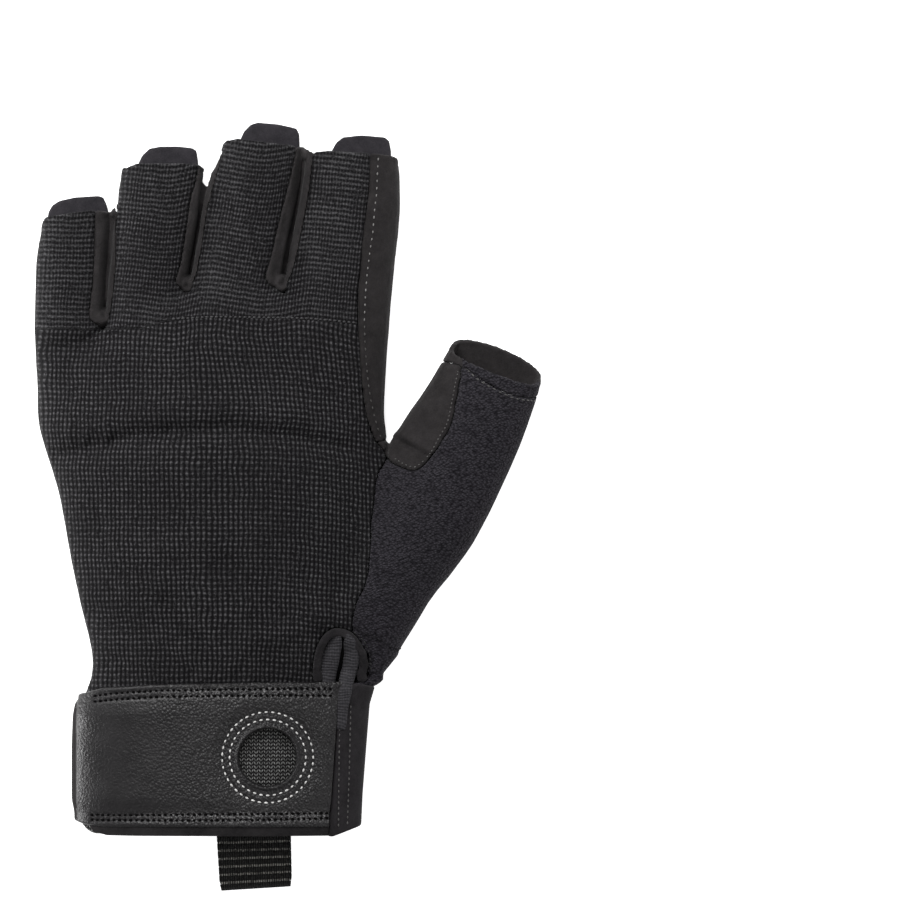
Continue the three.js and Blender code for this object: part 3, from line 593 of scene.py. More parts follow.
def arched(points):
    """Lets the far lip of the thumb's open end stand out in an arch, as it is seen past the near one."""
    places = np.stack(seen(points), 1)
    along = np.clip((places - HEM_CORNER) @ HEM_ACROSS / HEM_WIDE, 0, 1)
    out = smooth_step((places - HEM_LOW) @ HEM_OUT / HEM_GROW)
    low = 1 - smooth_step((points[:, 2] / MM - HEM_FADE) / HEM_FADE_REACH)
    shift = HEM_ARCH * (4 * along * (1 - along)) ** 0.8 * out * low
    return points + np.column_stack([shift[:, None] * HEM_OUT * (1, -1) * PIXEL, np.zeros(len(points))])


suede_sides = {
    name: dressed(panel(name, node, voxel * MM), "suede", node, suede)
    for name, node, voxel in (("forefinger_side", "index_side", 0.5), ("thumb_suede", "thumb_front", 0.55),
                              ("thumb_end_hem", "thumb_hem", 0.5))
}
press(suede_sides["thumb_suede"], in_photo((398, 440), (415, 449), (432, 458)), 0.8, 1.5)
hem = suede_sides["thumb_end_hem"]
put_points(hem, arched(points_of(hem)))
FOREFINGER_ROW = ((378.3, 160), (377.5, 174.5), (376.5, 196), (374.7, 211), (372.9, 233.5), (369.8, 254.5),
                  (366.3, 287), (364.6, 320), (365.6, 350), (368.6, 384), (373.5, 412), (381, 437), (392, 456))
THUMB_ROW = ((460, 361), (458, 372), (454, 391), (451, 407), (447, 424), (439.5, 437), (432, 451), (427.5, 457))
GUSSET_ROW = ((396, 459), (405, 464.5), (415, 467), (423, 461.5))
HEM_ROW = ((466, 369), (481, 382), (511, 397.5), (534, 401))
suede_surfaces = [surface_of(suede_sides[name]) for name in ("forefinger_side", "thumb_suede")]
for name, row, tree in (("forefinger_stitches", FOREFINGER_ROW[:8], grey_thread),
                        ("forefinger_lower_stitches", FOREFINGER_ROW[7:], dull_thread)):
    sewn(name, [laid_on(suede_surfaces[:1], in_photo(*row))], tree, "suede", 1.95, 0.8, 0.36, 0.34)
sewn("thumb_stitches", [laid_on(suede_surfaces[1:], in_photo(*row)) for row in (THUMB_ROW, GUSSET_ROW)],
     dull_thread, "suede", 1.15, 0.6, 0.4, 0.36)

# Towelling at the back of the thumb
# A looped knit for wiping the face: rows of small soft loops, navy-black, from the thumb's seam to the wrist.
TERRY_DARK = (0.006, 0.0055, 0.0068)
TERRY_LIGHT = (0.047, 0.044, 0.0515)
LOOP_PITCH = 0.82 * MM
LOOP_TURN = math.radians(-34)
# The hem's front is cut from the towelling: where it starts in the photograph, and from what height
HEM_SEAM = 463
HEM_FRONT = 6.6 * MM


def terry_look():
    pile = Finish("looped_towelling", 0.95, sheen=0.04, specular=0.03)
    turned = pile.node("Mapping", {"Vector": pile.place(), "Rotation": (0, 0, LOOP_TURN), "Scale": (1, 1.5, 1)})
    loops = pile.node("TexVoronoi", {"Vector": turned, "Scale": 1 / LOOP_PITCH, "Randomness": 0.72}, "Distance")
    height = pile.math("SUBTRACT", 1.0, loops, clamp=True)
    fuzz = pile.mottle(0.35 * MM, 2.0, 0.7)
    patch = pile.plus(0.35, pile.times(pile.mottle(12 * MM, 1.0), 0.3))
    tone = pile.times(pile.math("POWER", height, 1.6), pile.plus(fuzz, patch), clamp=True)
    relief = pile.plus(height, pile.times(fuzz, 0.3))
    return pile.finished(pile.between(tone, TERRY_DARK, TERRY_LIGHT), relief, 0.5 * MM, 0.9)


def second_finish(piece, chosen):
    """Gives the chosen faces the piece's second material."""
    piece.data.polygons.foreach_set("material_index", chosen.astype(np.int32))


terry = terry_look()
thumb_terry = panel("thumb_towelling", "thumb_back", 0.55 * MM)
swell(thumb_terry, [(((352, 684), (374, 690)), 4.5, 1.2)], 0)
hem.data.materials.append(terry)
centres = values_of(hem.data.polygons, "center")
second_finish(hem, (centres[:, 2] > HEM_FRONT) & (centres[:, 0] > plan((HEM_SEAM, 0))[0]))
dressed(thumb_terry, "terry", "thumb_back", terry)
sewn("thumb_hem_stitches", [laid_on([surface_of(thumb_terry)] + suede_surfaces[1:], in_photo(*HEM_ROW))],
     dull_thread, "terry", 1.7, 1.0, 0.4, 0.36)

# Padded palm
# Two layers of suede with a thin foam between them, quilted by rows of stitches, and a suede overlay at the
# forefinger's root. The glove lies on it, so it is flat below, between its quilting lines.
QUILTING = (
    ((-59.4, 23), (-59.3, 30.8), (-57.7, 34.5), (-52.7, 36.3), (-43.1, 37.6), (-28.5, 37.8), (-6.4, 38)),
    ((-50.3, 21.5), (-48.7, 25.2), (-45, 27.1), (-33.6, 28.2), (-24, 28.9), (-10.2, 29.8)),
    ((-36, 15.4), (-28.8, 17.8), (-19.6, 20.2), (-10.7, 23.6)),
    ((-36.7, 13.8), (-24, 13.4), (-10, 13), (2.7, 13.6), (12.8, 15)),
    ((-43.1, 2.7), (-28.8, 2.8), (-14.8, 3.4), (-6.4, 4.5), (-8.1, -1), (-17.7, -12.5), (-26.2, -18.6),
     (-39.1, -18.4), (-52.7, -17.7)),
    ((-11.6, -29.5), (-16.3, -31.2), (-28.5, -30.7), (-51.6, -29.2)),
)
palm = panel("palm_suede", "palm_panel")
quilting = [flowing(np.array(line) * MM) for line in QUILTING]
for line in quilting:
    press(palm, line, 1.3, 0.35, -1)
patch = panel("palm_overlay", "palm_patch", 0.35 * MM)
palm_surface, patch_surface = surface_of(palm), surface_of(patch)
PATCH_ROW = ((20, 45.2), (14.8, 43.6), (7.6, 40.2), (-2.2, 36.6), (-6.4, 32.4), (-6.2, 27.4), (-2.2, 23.6),
             (4.4, 21.6), (11.2, 20.6), (15.8, 21.6), (18.6, 24.2))
# The two rows across each finger's palm side: their middle, half their length and their slope, in millimetres
END_ROWS = ((-57.3, 73.6, 6.6, -0.06), (-33.9, 86.6, 8.2, -0.11), (-7.9, 92.3, 8.2, -0.19), (16.9, 89.4, 9.4, -0.07))
END_ROW_GAP = 2.2
end_rows = [
    flowing(np.array(((x - half, y - gap - half * slope), (x, y - gap), (x + half, y - gap + half * slope))) * MM)
    for x, y, half, slope in END_ROWS for gap in (0, END_ROW_GAP)
]
sewn("quilting_stitches", [laid_on([palm_surface], line, -1) for line in quilting + end_rows], dull_thread, "suede",
     1.75, 1.1, 0.42, 0.34)
sewn("overlay_stitches", [laid_on([patch_surface], flowing(np.array(PATCH_ROW) * MM), -1)], dull_thread, "suede",
     1.75, 1.1, 0.42, 0.34)
dressed(palm, "suede", "palm_panel", suede)
dressed(patch, "suede", "palm_patch", suede)

# Bound slit at the wrist
# An arch-shaped opening at the thumb side of the wrist lets the glove open for the hand. A rolled suede binding runs
# round it, a row of stitches holds that down, and a knit closes the opening inside, painted near black as the shade in
# the opening.
SLIT_ROW = ((311.5, 682), (315, 657), (324, 639), (338, 629.5), (352, 630.5), (364, 640), (370, 655), (371, 668))
slit_suede = suede_look("slit_dark_suede", (0.008, 0.0075, 0.0082), (0.0225, 0.021, 0.0225))
# The knit in the slit is painted near black: painted shade in the gap between the folds
shadow_knit = suede_look("slit_shadow_knit", (0.0012, 0.0012, 0.0013), (0.003, 0.003, 0.003))
gusset = panel("slit_knit", "slit_gusset", 0.3 * MM)
binding = panel("slit_rolled_edge", "slit_binding", 0.32 * MM, rounds=14)
dressed(gusset, "terry", "slit_gusset", shadow_knit)
dressed(binding, "suede", "slit_binding", slit_suede)
sewn("slit_stitches", [laid_on([surface_of(back), surface_of(thumb_terry)], in_photo(*SLIT_ROW))], black_thread,
     "woven", 1.3, 0.85, 0.4, 0.36)

# Cuff under the strap
# The back of the cuff is a looped knit that the strap grips, seen through the strap's hole and below its lower
# edge. The palm side is a wide twill elastic with diagonal ribs.
TWILL_PITCH, TWILL_YARN = 1.2 * MM, 0.6 * MM
TWILL_TURN = math.radians(38)
WALE = 1.3 * MM
COURSE = 1.0 * MM
# The knit's lower corners are rounded: from where to where along the hand, how far in, and the cuff's middle and
# half its width
CORNER_START, CUFF_LOW = -84.0 * MM, -87.8 * MM
CORNER_WIDE = 6.5 * MM
CUFF_MIDDLE, CUFF_HALF = -19.2 * MM, 36 * MM


def knit_look():
    knit = Finish("loop_knit", 0.9, sheen=0.03, specular=0.05)
    across, along, _ = knit.parts(knit.place())
    wale = knit.times(knit.math("PINGPONG", across, WALE / 2), 2 / WALE)
    legs = knit.math("SINE", knit.times(wale, math.pi))
    loops = knit.wave(knit.plus(along, knit.times(wale, 0.75 * COURSE)), COURSE, "COSINE")
    raised = knit.times(legs, knit.span(loops, -0.7, 0.8))
    tone = knit.times(raised, knit.span(knit.mottle(0.7 * MM), 0.35, 0.65, 0.3, 1.0), clamp=True)
    # The loop tops are painted pale as highlights, brighter than the black knit itself, to make up for the shade in
    # the strap's hole
    return knit.finished(knit.between(tone, (0.003, 0.003, 0.0032), (0.26, 0.26, 0.255)), raised, 0.4 * MM, 0.8)


def twill_look():
    twill = Finish("twill_elastic", 0.7, sheen=0.03, specular=0.1)
    turned = twill.node("Mapping", {"Vector": twill.place(), "Rotation": (0, 0, TWILL_TURN)})
    across, along, _ = twill.parts(turned)
    ribs, yarn = twill.wave(across, TWILL_PITCH), twill.wave(along, TWILL_YARN)
    raised = twill.plus(twill.times(ribs, 0.7), twill.times(yarn, 0.3))
    tone = twill.times(twill.span(raised, -0.8, 0.9), twill.plus(twill.mottle(0.6 * MM), 0.4), clamp=True)
    return twill.finished(twill.between(tone, (0.006, 0.006, 0.0065), (0.06, 0.06, 0.061)), raised, 0.16 * MM, 0.8)


under_strap = panel("cuff_knit", "strap_base", 0.5 * MM)
under_points = points_of(under_strap)
corner = np.clip((CORNER_START - under_points[:, 1]) / (CORNER_START - CUFF_LOW), 0, 1)
inward = CORNER_WIDE * (1 - np.sqrt(1 - corner * corner))
under_points[:, 0] -= inward * np.clip((under_points[:, 0] - CUFF_MIDDLE) / CUFF_HALF, -1, 1)
put_points(under_strap, under_points)
cuff = panel("cuff_elastic", "cuff_band", 0.5 * MM)
dressed(under_strap, "terry", "strap_base", knit_look())
dressed(cuff, "elastic", "cuff_band", twill_look())

# Leather strap
# A stiffened strap of fine pebbled leather, half gloss, folded round the little-finger side of the wrist. Its
# edges are bound by double rows of black stitches and its round hole has a rolled rim.
LEATHER_DARK = (0.0052, 0.0047, 0.0052)
LEATHER_LIGHT = (0.0105, 0.0096, 0.0104)
# The pale colour of the painted glints beside the stitches
LEATHER_GLINT = (0.15, 0.147, 0.149)
PEBBLE = 0.72 * MM
SMOOTH_END = (-44 * MM, -20 * MM)


def leather_look():
    leather = Finish("pebbled_leather", 0.34, specular=0.3)
    place = leather.place()
    wander = leather.node("TexNoise", {"Vector": place, "Scale": 900.0, "Detail": 2.0}, "Color")
    bent = leather.vector("ADD", place, {1: leather.vector("SCALE", wander, {"Scale": 0.45 * MM})})
    cells = leather.node("TexVoronoi", {"Vector": bent, "Scale": 1 / PEBBLE}, "Distance")
    grown = leather.span(leather.parts(place)[0], *SMOOTH_END, 0.3, 1.0)
    grain = leather.times(leather.math("SUBTRACT", 1.0, cells, clamp=True), grown)
    pores = leather.mottle(0.3 * MM)
    broad = leather.mottle(7 * MM, 3.0)
    # Painted highlight: beside the rows of stitches the leather's colour is mixed towards the pale glint colour
    rows = leather.node("Attribute", output="Fac", attribute_name="painted_stitch_glint")
    glint = leather.times(rows, leather.span(leather.mottle(0.5 * MM, 2.0, 0.6), 0.5, 0.64), clamp=True)
    rough = leather.span(leather.plus(broad, pores), 0.6, 1.4, 0.3, 0.48)
    leather.tree.links.new(rough, leather.inputs["Roughness"])
    plain = leather.between(broad, LEATHER_DARK, LEATHER_LIGHT)
    height = leather.plus(grain, leather.times(pores, 0.25))
    return leather.finished(leather.between(glint, plain, LEATHER_GLINT), height, 0.34 * MM, 0.9)


# The cuff's section at five heights of the wrist: place along the hand, its two sides and its crown, and below
# these the level of its underside, the share of its height where its sides stand, and how round it is
CUFF_STATIONS = np.array((
    (-88.2, -55.0, 16.6, 15.4), (-76.9, -55.4, 17.1, 15.6), (-64.0, -55.4, 18.1, 15.8), (-52.9, -55.0, 19.0, 16.1),
    (-46.4, -52.2, 20.9, 16.7),
)) * MM
CUFF_BASE = 2.2 * MM
CUFF_SIDE_SHARE = 0.45
CUFF_ROUND_ABOVE, CUFF_ROUND_BELOW = 2.3, 5
STRAP_MIDDLE = -66.7 * MM
STRAP_UNDER = 0.3 * MM
STRAP_THICK = 2.0 * MM
STRAP_LOW_EDGE = 5.2 * MM
STRAP_ROUND = 0.9 * MM
STRAP_WIDE = 39 * MM
STRAP_STEP = 0.42 * MM
# Shares of the rounded edge at which it gets its rows of points
EDGE_SHARES = np.array((0, 0.07, 0.22, 0.45, 0.72))
# How far from the hole's edge its other rings of points are
RIM_STEPS = np.arange(0.75, 5.3, 0.25) * MM
STRAP_TOP = ((-57.7, -50.3), (-51.4, -48.3), (-37.9, -47.3), (-11.6, -46.8), (12.2, -46.65))
STRAP_BOTTOM = ((-58.2, -83.2), (-56.7, -84.0), (-54, -84.8), (-49.2, -85.4), (12.2, -85.5))
# The roll below the strap: its thickness, where it ends, and its two edges across the hand
EDGE_THICK = 1.4 * MM
EDGE_END = -52.6 * MM
UNDER_LOW = ((-53.4, -84.6), (-52.6, -85.6), (-51, -86.8), (-48, -87.6), (-40, -87.7), (12.2, -87.75))
UNDER_HIGH = ((-53.4, -83.8), (12.2, -84))
STRAP_END = 11.7 * MM
HOLE_CENTRE = plan((268.5, 756))
HOLE_RADIUS = 7.56 * MM
RIM_RADIUS, RIM_HALF, RIM_HEIGHT = 8.15, 0.62, 0.55
RING_ROWS = (10.1, 12.05)
STRAP_ROWS = (
    ((96, 695), (115, 692.5), (147, 690.3), (181, 689), (277, 687.8), (331, 688)),
    ((96, 700.6), (115, 698.6), (147, 696.4), (181, 695), (277, 694.2), (331, 694.4)),
    ((93, 813.7), (150, 813.2), (212, 812.6), (331, 812)),
    ((93, 818.7), (150, 818.6), (212, 818.5), (331, 817)),
)
# The painted glints beside the strap's stitches, highlights put into the leather's colour: half the width of that,
# above what height, its share at the smooth end and over what length it grows from there
GLINT_WIDE, GLINT_FROM, GLINT_LEAST, GLINT_GROW = 0.75 * MM, 8 * MM, 0.25, 22 * MM
# The lap's seam at the little finger's side, how deep it is pressed and how far the leather drops beyond it
LAP_SEAM = plan((77.0, 0))[0]
LAP_DENT, LAP_DROP = 0.25, 0.3
# The padding's rise in millimetres, and how far from the rows and from the hole's stitches it takes to rise
PADDING, PADDING_FROM_ROWS, PADDING_FROM_RINGS = 0.5, 4.5, 4
# How deep the stitches draw the leather in, along the rows and round the hole, and half the width of that
ROW_DENT, RING_DENT, DENT_HALF = 0.3, 0.16, 0.5
HOLE_SQUARE = 13.2 * MM


def cuff_section(y):
    """The cuff's middle, half its width, its crown and the level of its sides, at a place along the hand."""
    left, right, crown = (np.interp(y, CUFF_STATIONS[:, 0], CUFF_STATIONS[:, k]) for k in (1, 2, 3))
    return (left + right) / 2, (right - left) / 2, crown, CUFF_BASE + CUFF_SIDE_SHARE * (crown - CUFF_BASE)


def cuff_place(turn, y, growth):
    """A place on the cuff: turn goes round it from the thumb's side over its top, and growth stands off it."""
    middle, half, crown, side = cuff_section(y)
    cosine, sine = np.cos(turn), np.sin(turn)
    power = np.where(sine >= 0, CUFF_ROUND_ABOVE, CUFF_ROUND_BELOW)
    rise = np.where(sine >= 0, crown - side, side - CUFF_BASE) + growth
    x = middle + (half + growth) * np.sign(cosine) * np.abs(cosine) ** (2 / power)
    z = side + rise * np.sign(sine) * np.abs(sine) ** (2 / power)
    return np.stack([x, y + 0 * x, z], -1)


def cuff_height(x, y, growth):
    """The cuff's height above a place in plan."""
    middle, half, crown, side = cuff_section(y)
    share = np.clip(np.abs(x - middle) / (half + growth), 0, 1)
    return side + (crown - side + growth) * (1 - share ** CUFF_ROUND_ABOVE) ** (1 / CUFF_ROUND_ABOVE)


def spread(length, edge, step):
    """Distances along a length, close together at its two ends."""
    close = edge * EDGE_SHARES
    even = np.linspace(edge, length - edge, int((length - 2 * edge) / step) + 2)
    return np.concatenate([close, even, length - close[::-1]])


def cuff_turns(first, last, edge, step):
    """Turns round the cuff between two of them, even along it and closer at the ends, and how far along each is."""
    dense = np.linspace(first, last, 4000)
    path = cuff_place(dense, np.full(4000, STRAP_MIDDLE), STRAP_UNDER + STRAP_THICK / 2)
    far = np.concatenate([[0], np.cumsum(np.linalg.norm(np.diff(path, axis=0), axis=1))])
    places = spread(far[-1], edge, step)
    return np.interp(places, far, dense), places


def turn_over(x, growth):
    """The turn above a place in plan, at the strap's middle."""
    middle, half, _, _ = cuff_section(STRAP_MIDDLE)
    share = (x - middle) / (half + growth)
    return math.acos(math.copysign(abs(share) ** (CUFF_ROUND_ABOVE / 2), share))


def turn_down(z, growth):
    """How far the turn goes on below the side, down to a height."""
    side = cuff_section(STRAP_MIDDLE)[3]
    return math.asin(((side - z) / (side - CUFF_BASE + growth)) ** (CUFF_ROUND_BELOW / 2))


def cuff_cover(name, first, last, low, high, thick, relief, hole=None, step=0.5 * MM):
    """A closed cover of even thickness over the cuff, with rounded edges, between two turns and two lines. A hole
    is its centre, its radius and half the side of the square that its rings of points take the place of."""
    middle = STRAP_UNDER + thick / 2
    turns, far = cuff_turns(first, last, STRAP_ROUND, step)
    shares = spread(1.0, STRAP_ROUND / STRAP_WIDE, step / STRAP_WIDE)
    x = cuff_place(turns, np.full(len(turns), STRAP_MIDDLE), middle)[:, 0] / MM
    bottom, top = (np.interp(x, *np.array(sorted(line)).T) * MM for line in (low, high))
    y = bottom[:, None] + (top - bottom)[:, None] * shares[None, :]
    turn = np.broadcast_to(turns[:, None], y.shape)
    from_sides = np.minimum(far, far[-1] - far)[:, None]
    from_ends = np.minimum(shares, 1 - shares)[None, :] * STRAP_WIDE
    inward = np.minimum(from_sides, from_ends)

    def layers(inward, place_at):
        swell_out = np.sqrt(np.clip(1 - (1 - np.clip(inward / STRAP_ROUND, 0, 1)) ** 2, 0, 1))
        outer = place_at(middle + thick / 2 * swell_out)
        lift = relief(outer[..., 0], outer[..., 1]) * swell_out
        return place_at(middle + thick / 2 * swell_out + lift), place_at(middle - thick / 2 * swell_out)

    outer, inner = layers(inward, lambda growth: cuff_place(turn, y, growth))
    columns, rows = y.shape
    index = np.arange(columns * rows).reshape(columns, rows)
    keep = np.ones((columns - 1, rows - 1), bool)
    tops, unders, joined = [outer.reshape(-1, 3)], [inner.reshape(-1, 3)], [(inward <= 1e-9).ravel()]
    quads = []
    if hole:
        (hole_x, hole_y), radius, reach = hole
        inside = (abs(outer[..., 0] - hole_x) < reach) & (abs(outer[..., 1] - hole_y) < reach)
        cols, lines = np.where(inside.any(1))[0], np.where(inside.any(0))[0]
        c0, c1, r0, r1 = cols[0], cols[-1], lines[0], lines[-1]
        keep[c0:c1, r0:r1] = False
        border = [index[c, r0] for c in range(c0, c1)] + [index[c1, r] for r in range(r0, r1)]
        border += [index[c, r1] for c in range(c1, c0, -1)] + [index[c0, r] for r in range(r1, r0, -1)]
        rim = outer.reshape(-1, 3)[border][:, :2]
        angle = np.arctan2(rim[:, 1] - hole_y, rim[:, 0] - hole_x)
        edge = STRAP_ROUND * 0.6
        depths = np.concatenate([edge * np.append(EDGE_SHARES, 1), RIM_STEPS])

        def circle(depth):
            return np.stack([hole_x + (radius + depth) * np.cos(angle), hole_y + (radius + depth) * np.sin(angle)], 1)

        bound = circle(depths[-1])
        rings = [(circle(depth), depth) for depth in depths]
        rings += [(bound + (rim - bound) * share, 10 * STRAP_ROUND) for share in (0.25, 0.5, 0.75)]
        base = columns * rows
        ring_ids = []
        for flat, depth in rings:
            above, under = layers(np.full(len(flat), depth) * (STRAP_ROUND / edge),
                                  lambda growth: np.column_stack([flat, cuff_height(*flat.T, growth)]))
            tops.append(above)
            unders.append(under)
            joined.append(np.full(len(flat), depth == 0))
            ring_ids.append(base + np.arange(len(flat)))
            base += len(flat)
        ring_ids.append(np.array(border))
        for near, out in zip(ring_ids[:-1], ring_ids[1:]):
            quads += list(zip(near, np.roll(near, -1), np.roll(out, -1), out))
    quads += list(zip(*(part[keep] for part in (index[:-1, :-1], index[1:, :-1], index[1:, 1:], index[:-1, 1:]))))
    tops, unders, joined = np.concatenate(tops), np.concatenate(unders), np.concatenate(joined)
    below = np.where(joined, np.arange(len(tops)), np.arange(len(tops)) + len(tops))
    shape = bmesh.new()
    verts = [shape.verts.new(place) for place in np.concatenate([tops, unders])]
    for quad in quads:
        shape.faces.new([verts[k] for k in quad])
        shape.faces.new([verts[below[k]] for k in reversed(quad)])
    bmesh.ops.delete(shape, geom=[vert for vert in shape.verts if not vert.link_faces], context="VERTS")
    bmesh.ops.recalc_face_normals(shape, faces=shape.faces)
    piece = made_from(shape, name)
    piece.data.shade_smooth()
    return piece


def strap_relief(x, y):
    """The strap's padding between its rows of stitches, the rows themselves, the rolled rim and the lapped end."""
    flat = np.stack([x.ravel(), y.ravel()], 1)
    low, high = (np.interp(flat[:, 0], *np.array([plan(place) for place in STRAP_ROWS[k]]).T) for k in (2, 1))
    between = np.clip(np.minimum(flat[:, 1] - low, high - flat[:, 1]) / MM, 0, None)
    out = np.hypot(flat[:, 0] - HOLE_CENTRE[0], flat[:, 1] - HOLE_CENTRE[1]) / MM
    lift = PADDING * smooth_step(between / PADDING_FROM_ROWS)
    lift *= smooth_step((out - RING_ROWS[1]) / PADDING_FROM_RINGS)
    for row in STRAP_ROWS:
        lift -= ROW_DENT * fading(from_line(flat, in_photo(*row)) / MM, DENT_HALF)
    for ring in RING_ROWS:
        lift -= RING_DENT * fading(out - ring, DENT_HALF)
    lift += RIM_HEIGHT * np.sqrt(np.clip(1 - ((out - RIM_RADIUS) / RIM_HALF) ** 2, 0, 1))
    lap = (flat[:, 0] - LAP_SEAM) / MM
    lift -= LAP_DROP * smooth_step(0.5 - lap / 0.5) + LAP_DENT * fading(lap, 0.35)
    return (lift * MM).reshape(x.shape)


strap_over = STRAP_UNDER + STRAP_THICK / 2
strap = cuff_cover("wrist_strap", turn_over(STRAP_END, strap_over), math.pi + turn_down(STRAP_LOW_EDGE, strap_over),
                   STRAP_BOTTOM, STRAP_TOP, STRAP_THICK, strap_relief, (HOLE_CENTRE, HOLE_RADIUS, HOLE_SQUARE),
                   STRAP_STEP)
strap_points = points_of(strap)
# Where the painted glint goes: along the stitch rows, on the strap's upper part, and less towards its smooth end
stitch_glint = sum(fading(from_line(strap_points, in_photo(*row)), GLINT_WIDE) for row in STRAP_ROWS)
grain_grown = smooth_step((strap_points[:, 0] - SMOOTH_END[0]) / GLINT_GROW)
stitch_glint *= (strap_points[:, 2] > GLINT_FROM) * (GLINT_LEAST + (1 - GLINT_LEAST) * grain_grown)
strap.data.attributes.new("painted_stitch_glint", "FLOAT", "POINT").data.foreach_set("value", stitch_glint.astype(np.float32))
worn_edge = suede_look("worn_leather_edge", (0.012, 0.011, 0.0115), (0.022, 0.0205, 0.021))
dressed(strap, "leather", "strap", leather_look(), worn_edge)
second_finish(strap, values_of(strap.data.polygons, "center")[:, 0] < LAP_SEAM)
strap_surface = surface_of(strap)
edge_over = STRAP_UNDER + EDGE_THICK / 2
lower_edge = cuff_cover("cuff_lower_edge", turn_over(STRAP_END, edge_over), turn_over(EDGE_END, edge_over), UNDER_LOW,
                        UNDER_HIGH, EDGE_THICK, lambda x, y: np.zeros(x.shape))
dressed(lower_edge, "suede", None, suede_look("cuff_edge_suede", (0.0085, 0.008, 0.0084), (0.019, 0.0177, 0.0185)))
deep_thread = thread("deep_black_thread", (0.0022, 0.002, 0.0022), 0.85, 0.03)
sewn("strap_stitches", [laid_on([strap_surface], in_photo(*row)) for row in STRAP_ROWS], deep_thread, "leather",
     1.52, 1.0, 0.72, 0.5, 0.08)
pale_thread = thread("pale_thread", (0.72, 0.71, 0.7))
around = np.linspace(0, 2 * math.pi, 120, endpoint=False)
ring_lines = [
    np.stack([HOLE_CENTRE[0] + ring * MM * np.cos(around), HOLE_CENTRE[1] + ring * MM * np.sin(around)], 1)
    for ring in RING_ROWS
]
sewn("hole_ring_stitches", [laid_on([strap_surface], line) for line in ring_lines], pale_thread, "leather",
     1.77, 1.02, 0.5, 0.45, 0.08, ring=True)

# Side panel at the thumb edge of the wrist
# A suede panel covers the strap's fixed end, with two rows of stitches down its length.
PANEL_THICK = 2.4 * MM
PANEL_START = 12.3 * MM
PANEL_BOTTOM = ((11, -87.7), (12.8, -88.0), (19.3, -85.6), (23, -84.6))
PANEL_TOP = ((11, -47.0), (16, -47.3), (20, -48.0), (23, -49.2))
PANEL_ROWS = (((340.3, 706), (339.3, 765), (338.6, 824)), ((351, 706), (349.5, 765), (347.6, 822)))
PANEL_EDGE = ((337.5, 690), (335.5, 760), (334, 826))
PANEL_DENT, PANEL_RISE = 0.35, 0.5


def panel_relief(x, y):
    """The raised inner edge of the panel, and the dents of its stitch rows."""
    flat = np.stack([x.ravel(), y.ravel()], 1)
    ridges = [(-PANEL_DENT, 0.7, row) for row in PANEL_ROWS] + [(PANEL_RISE, 0.9, PANEL_EDGE)]
    lift = sum(rise * fading(from_line(flat, in_photo(*row)), half * MM) for rise, half, row in ridges)
    return (lift * MM).reshape(x.shape)


panel_over = STRAP_UNDER + PANEL_THICK / 2
side_panel = cuff_cover("strap_end_panel", -turn_down(STRAP_LOW_EDGE, panel_over), turn_over(PANEL_START, panel_over),
                        PANEL_BOTTOM, PANEL_TOP, PANEL_THICK, panel_relief)
dressed(side_panel, "suede", "side_panel",
        suede_look("side_panel_suede", (0.0105, 0.0097, 0.0106), (0.0235, 0.0217, 0.0235)))
sewn("strap_end_stitches", [laid_on([surface_of(side_panel)], in_photo(*row)) for row in PANEL_ROWS], dull_thread,
     "suede", 1.45, 0.85, 0.42, 0.36)

# Folds of the knit in the slit
# The ribbed knit inside the slit lies in two soft rolls with a dark gap between them; the right one runs on over
# the side panel's inner edge.
RIB_PITCH = 0.8 * MM
# The two folds of the knit: places in the photograph with half their width, in pixels, and height in millimetres
SLIT_FOLDS = {
    "slit_left_fold": ((340, 633, 4, 0.7), (336.5, 640, 7, 1.1), (332, 650.7, 9.4, 1.3), (329.5, 659.6, 10.2, 1.4),
                       (327.5, 669.2, 10, 1.4), (326, 679, 10, 1.4), (325, 694, 10, 1)),
    "slit_right_fold": ((347.5, 633, 4.4, 0.8), (350, 640, 6.4, 1.4), (352, 650.7, 8, 1.7), (351.6, 659.6, 8.4, 1.8),
                        (349.5, 669.2, 8, 1.8), (347, 678.8, 7.6, 1.7), (345, 691.5, 7, 1.3), (343, 704, 6.2, 0.9),
                        (342, 716, 5.6, 0.6), (341.4, 732, 5, 0.3)),
}
# Points round a roll, and how many of its rows each of its ends takes to close
ROLL_SIDES, ROLL_END = 24, 8
# Over how many rows, each way, the level that a roll lies on is evened out
ROLL_LEVEL = 6


def ribbed_look():
    knit = Finish("fine_ribbed_knit", 0.85, sheen=0.03, specular=0.05)
    across, along, _ = knit.parts(knit.place())
    bend = knit.times(knit.mottle(6 * MM, 1.0), 2.5 * MM)
    ribs = knit.wave(knit.plus(along, knit.plus(knit.times(across, 0.12), bend)), RIB_PITCH)
    courses = knit.wave(across, 0.7 * MM)
    raised = knit.plus(knit.times(courses, 0.15), knit.plus(knit.times(ribs, 0.35), 0.5))
    tone = knit.times(knit.plus(raised, 0.5), knit.mottle(0.5 * MM), clamp=True)
    return knit.finished(knit.between(tone, (0.007, 0.007, 0.008), (0.056, 0.054, 0.059)), raised, 0.2 * MM, 0.8)


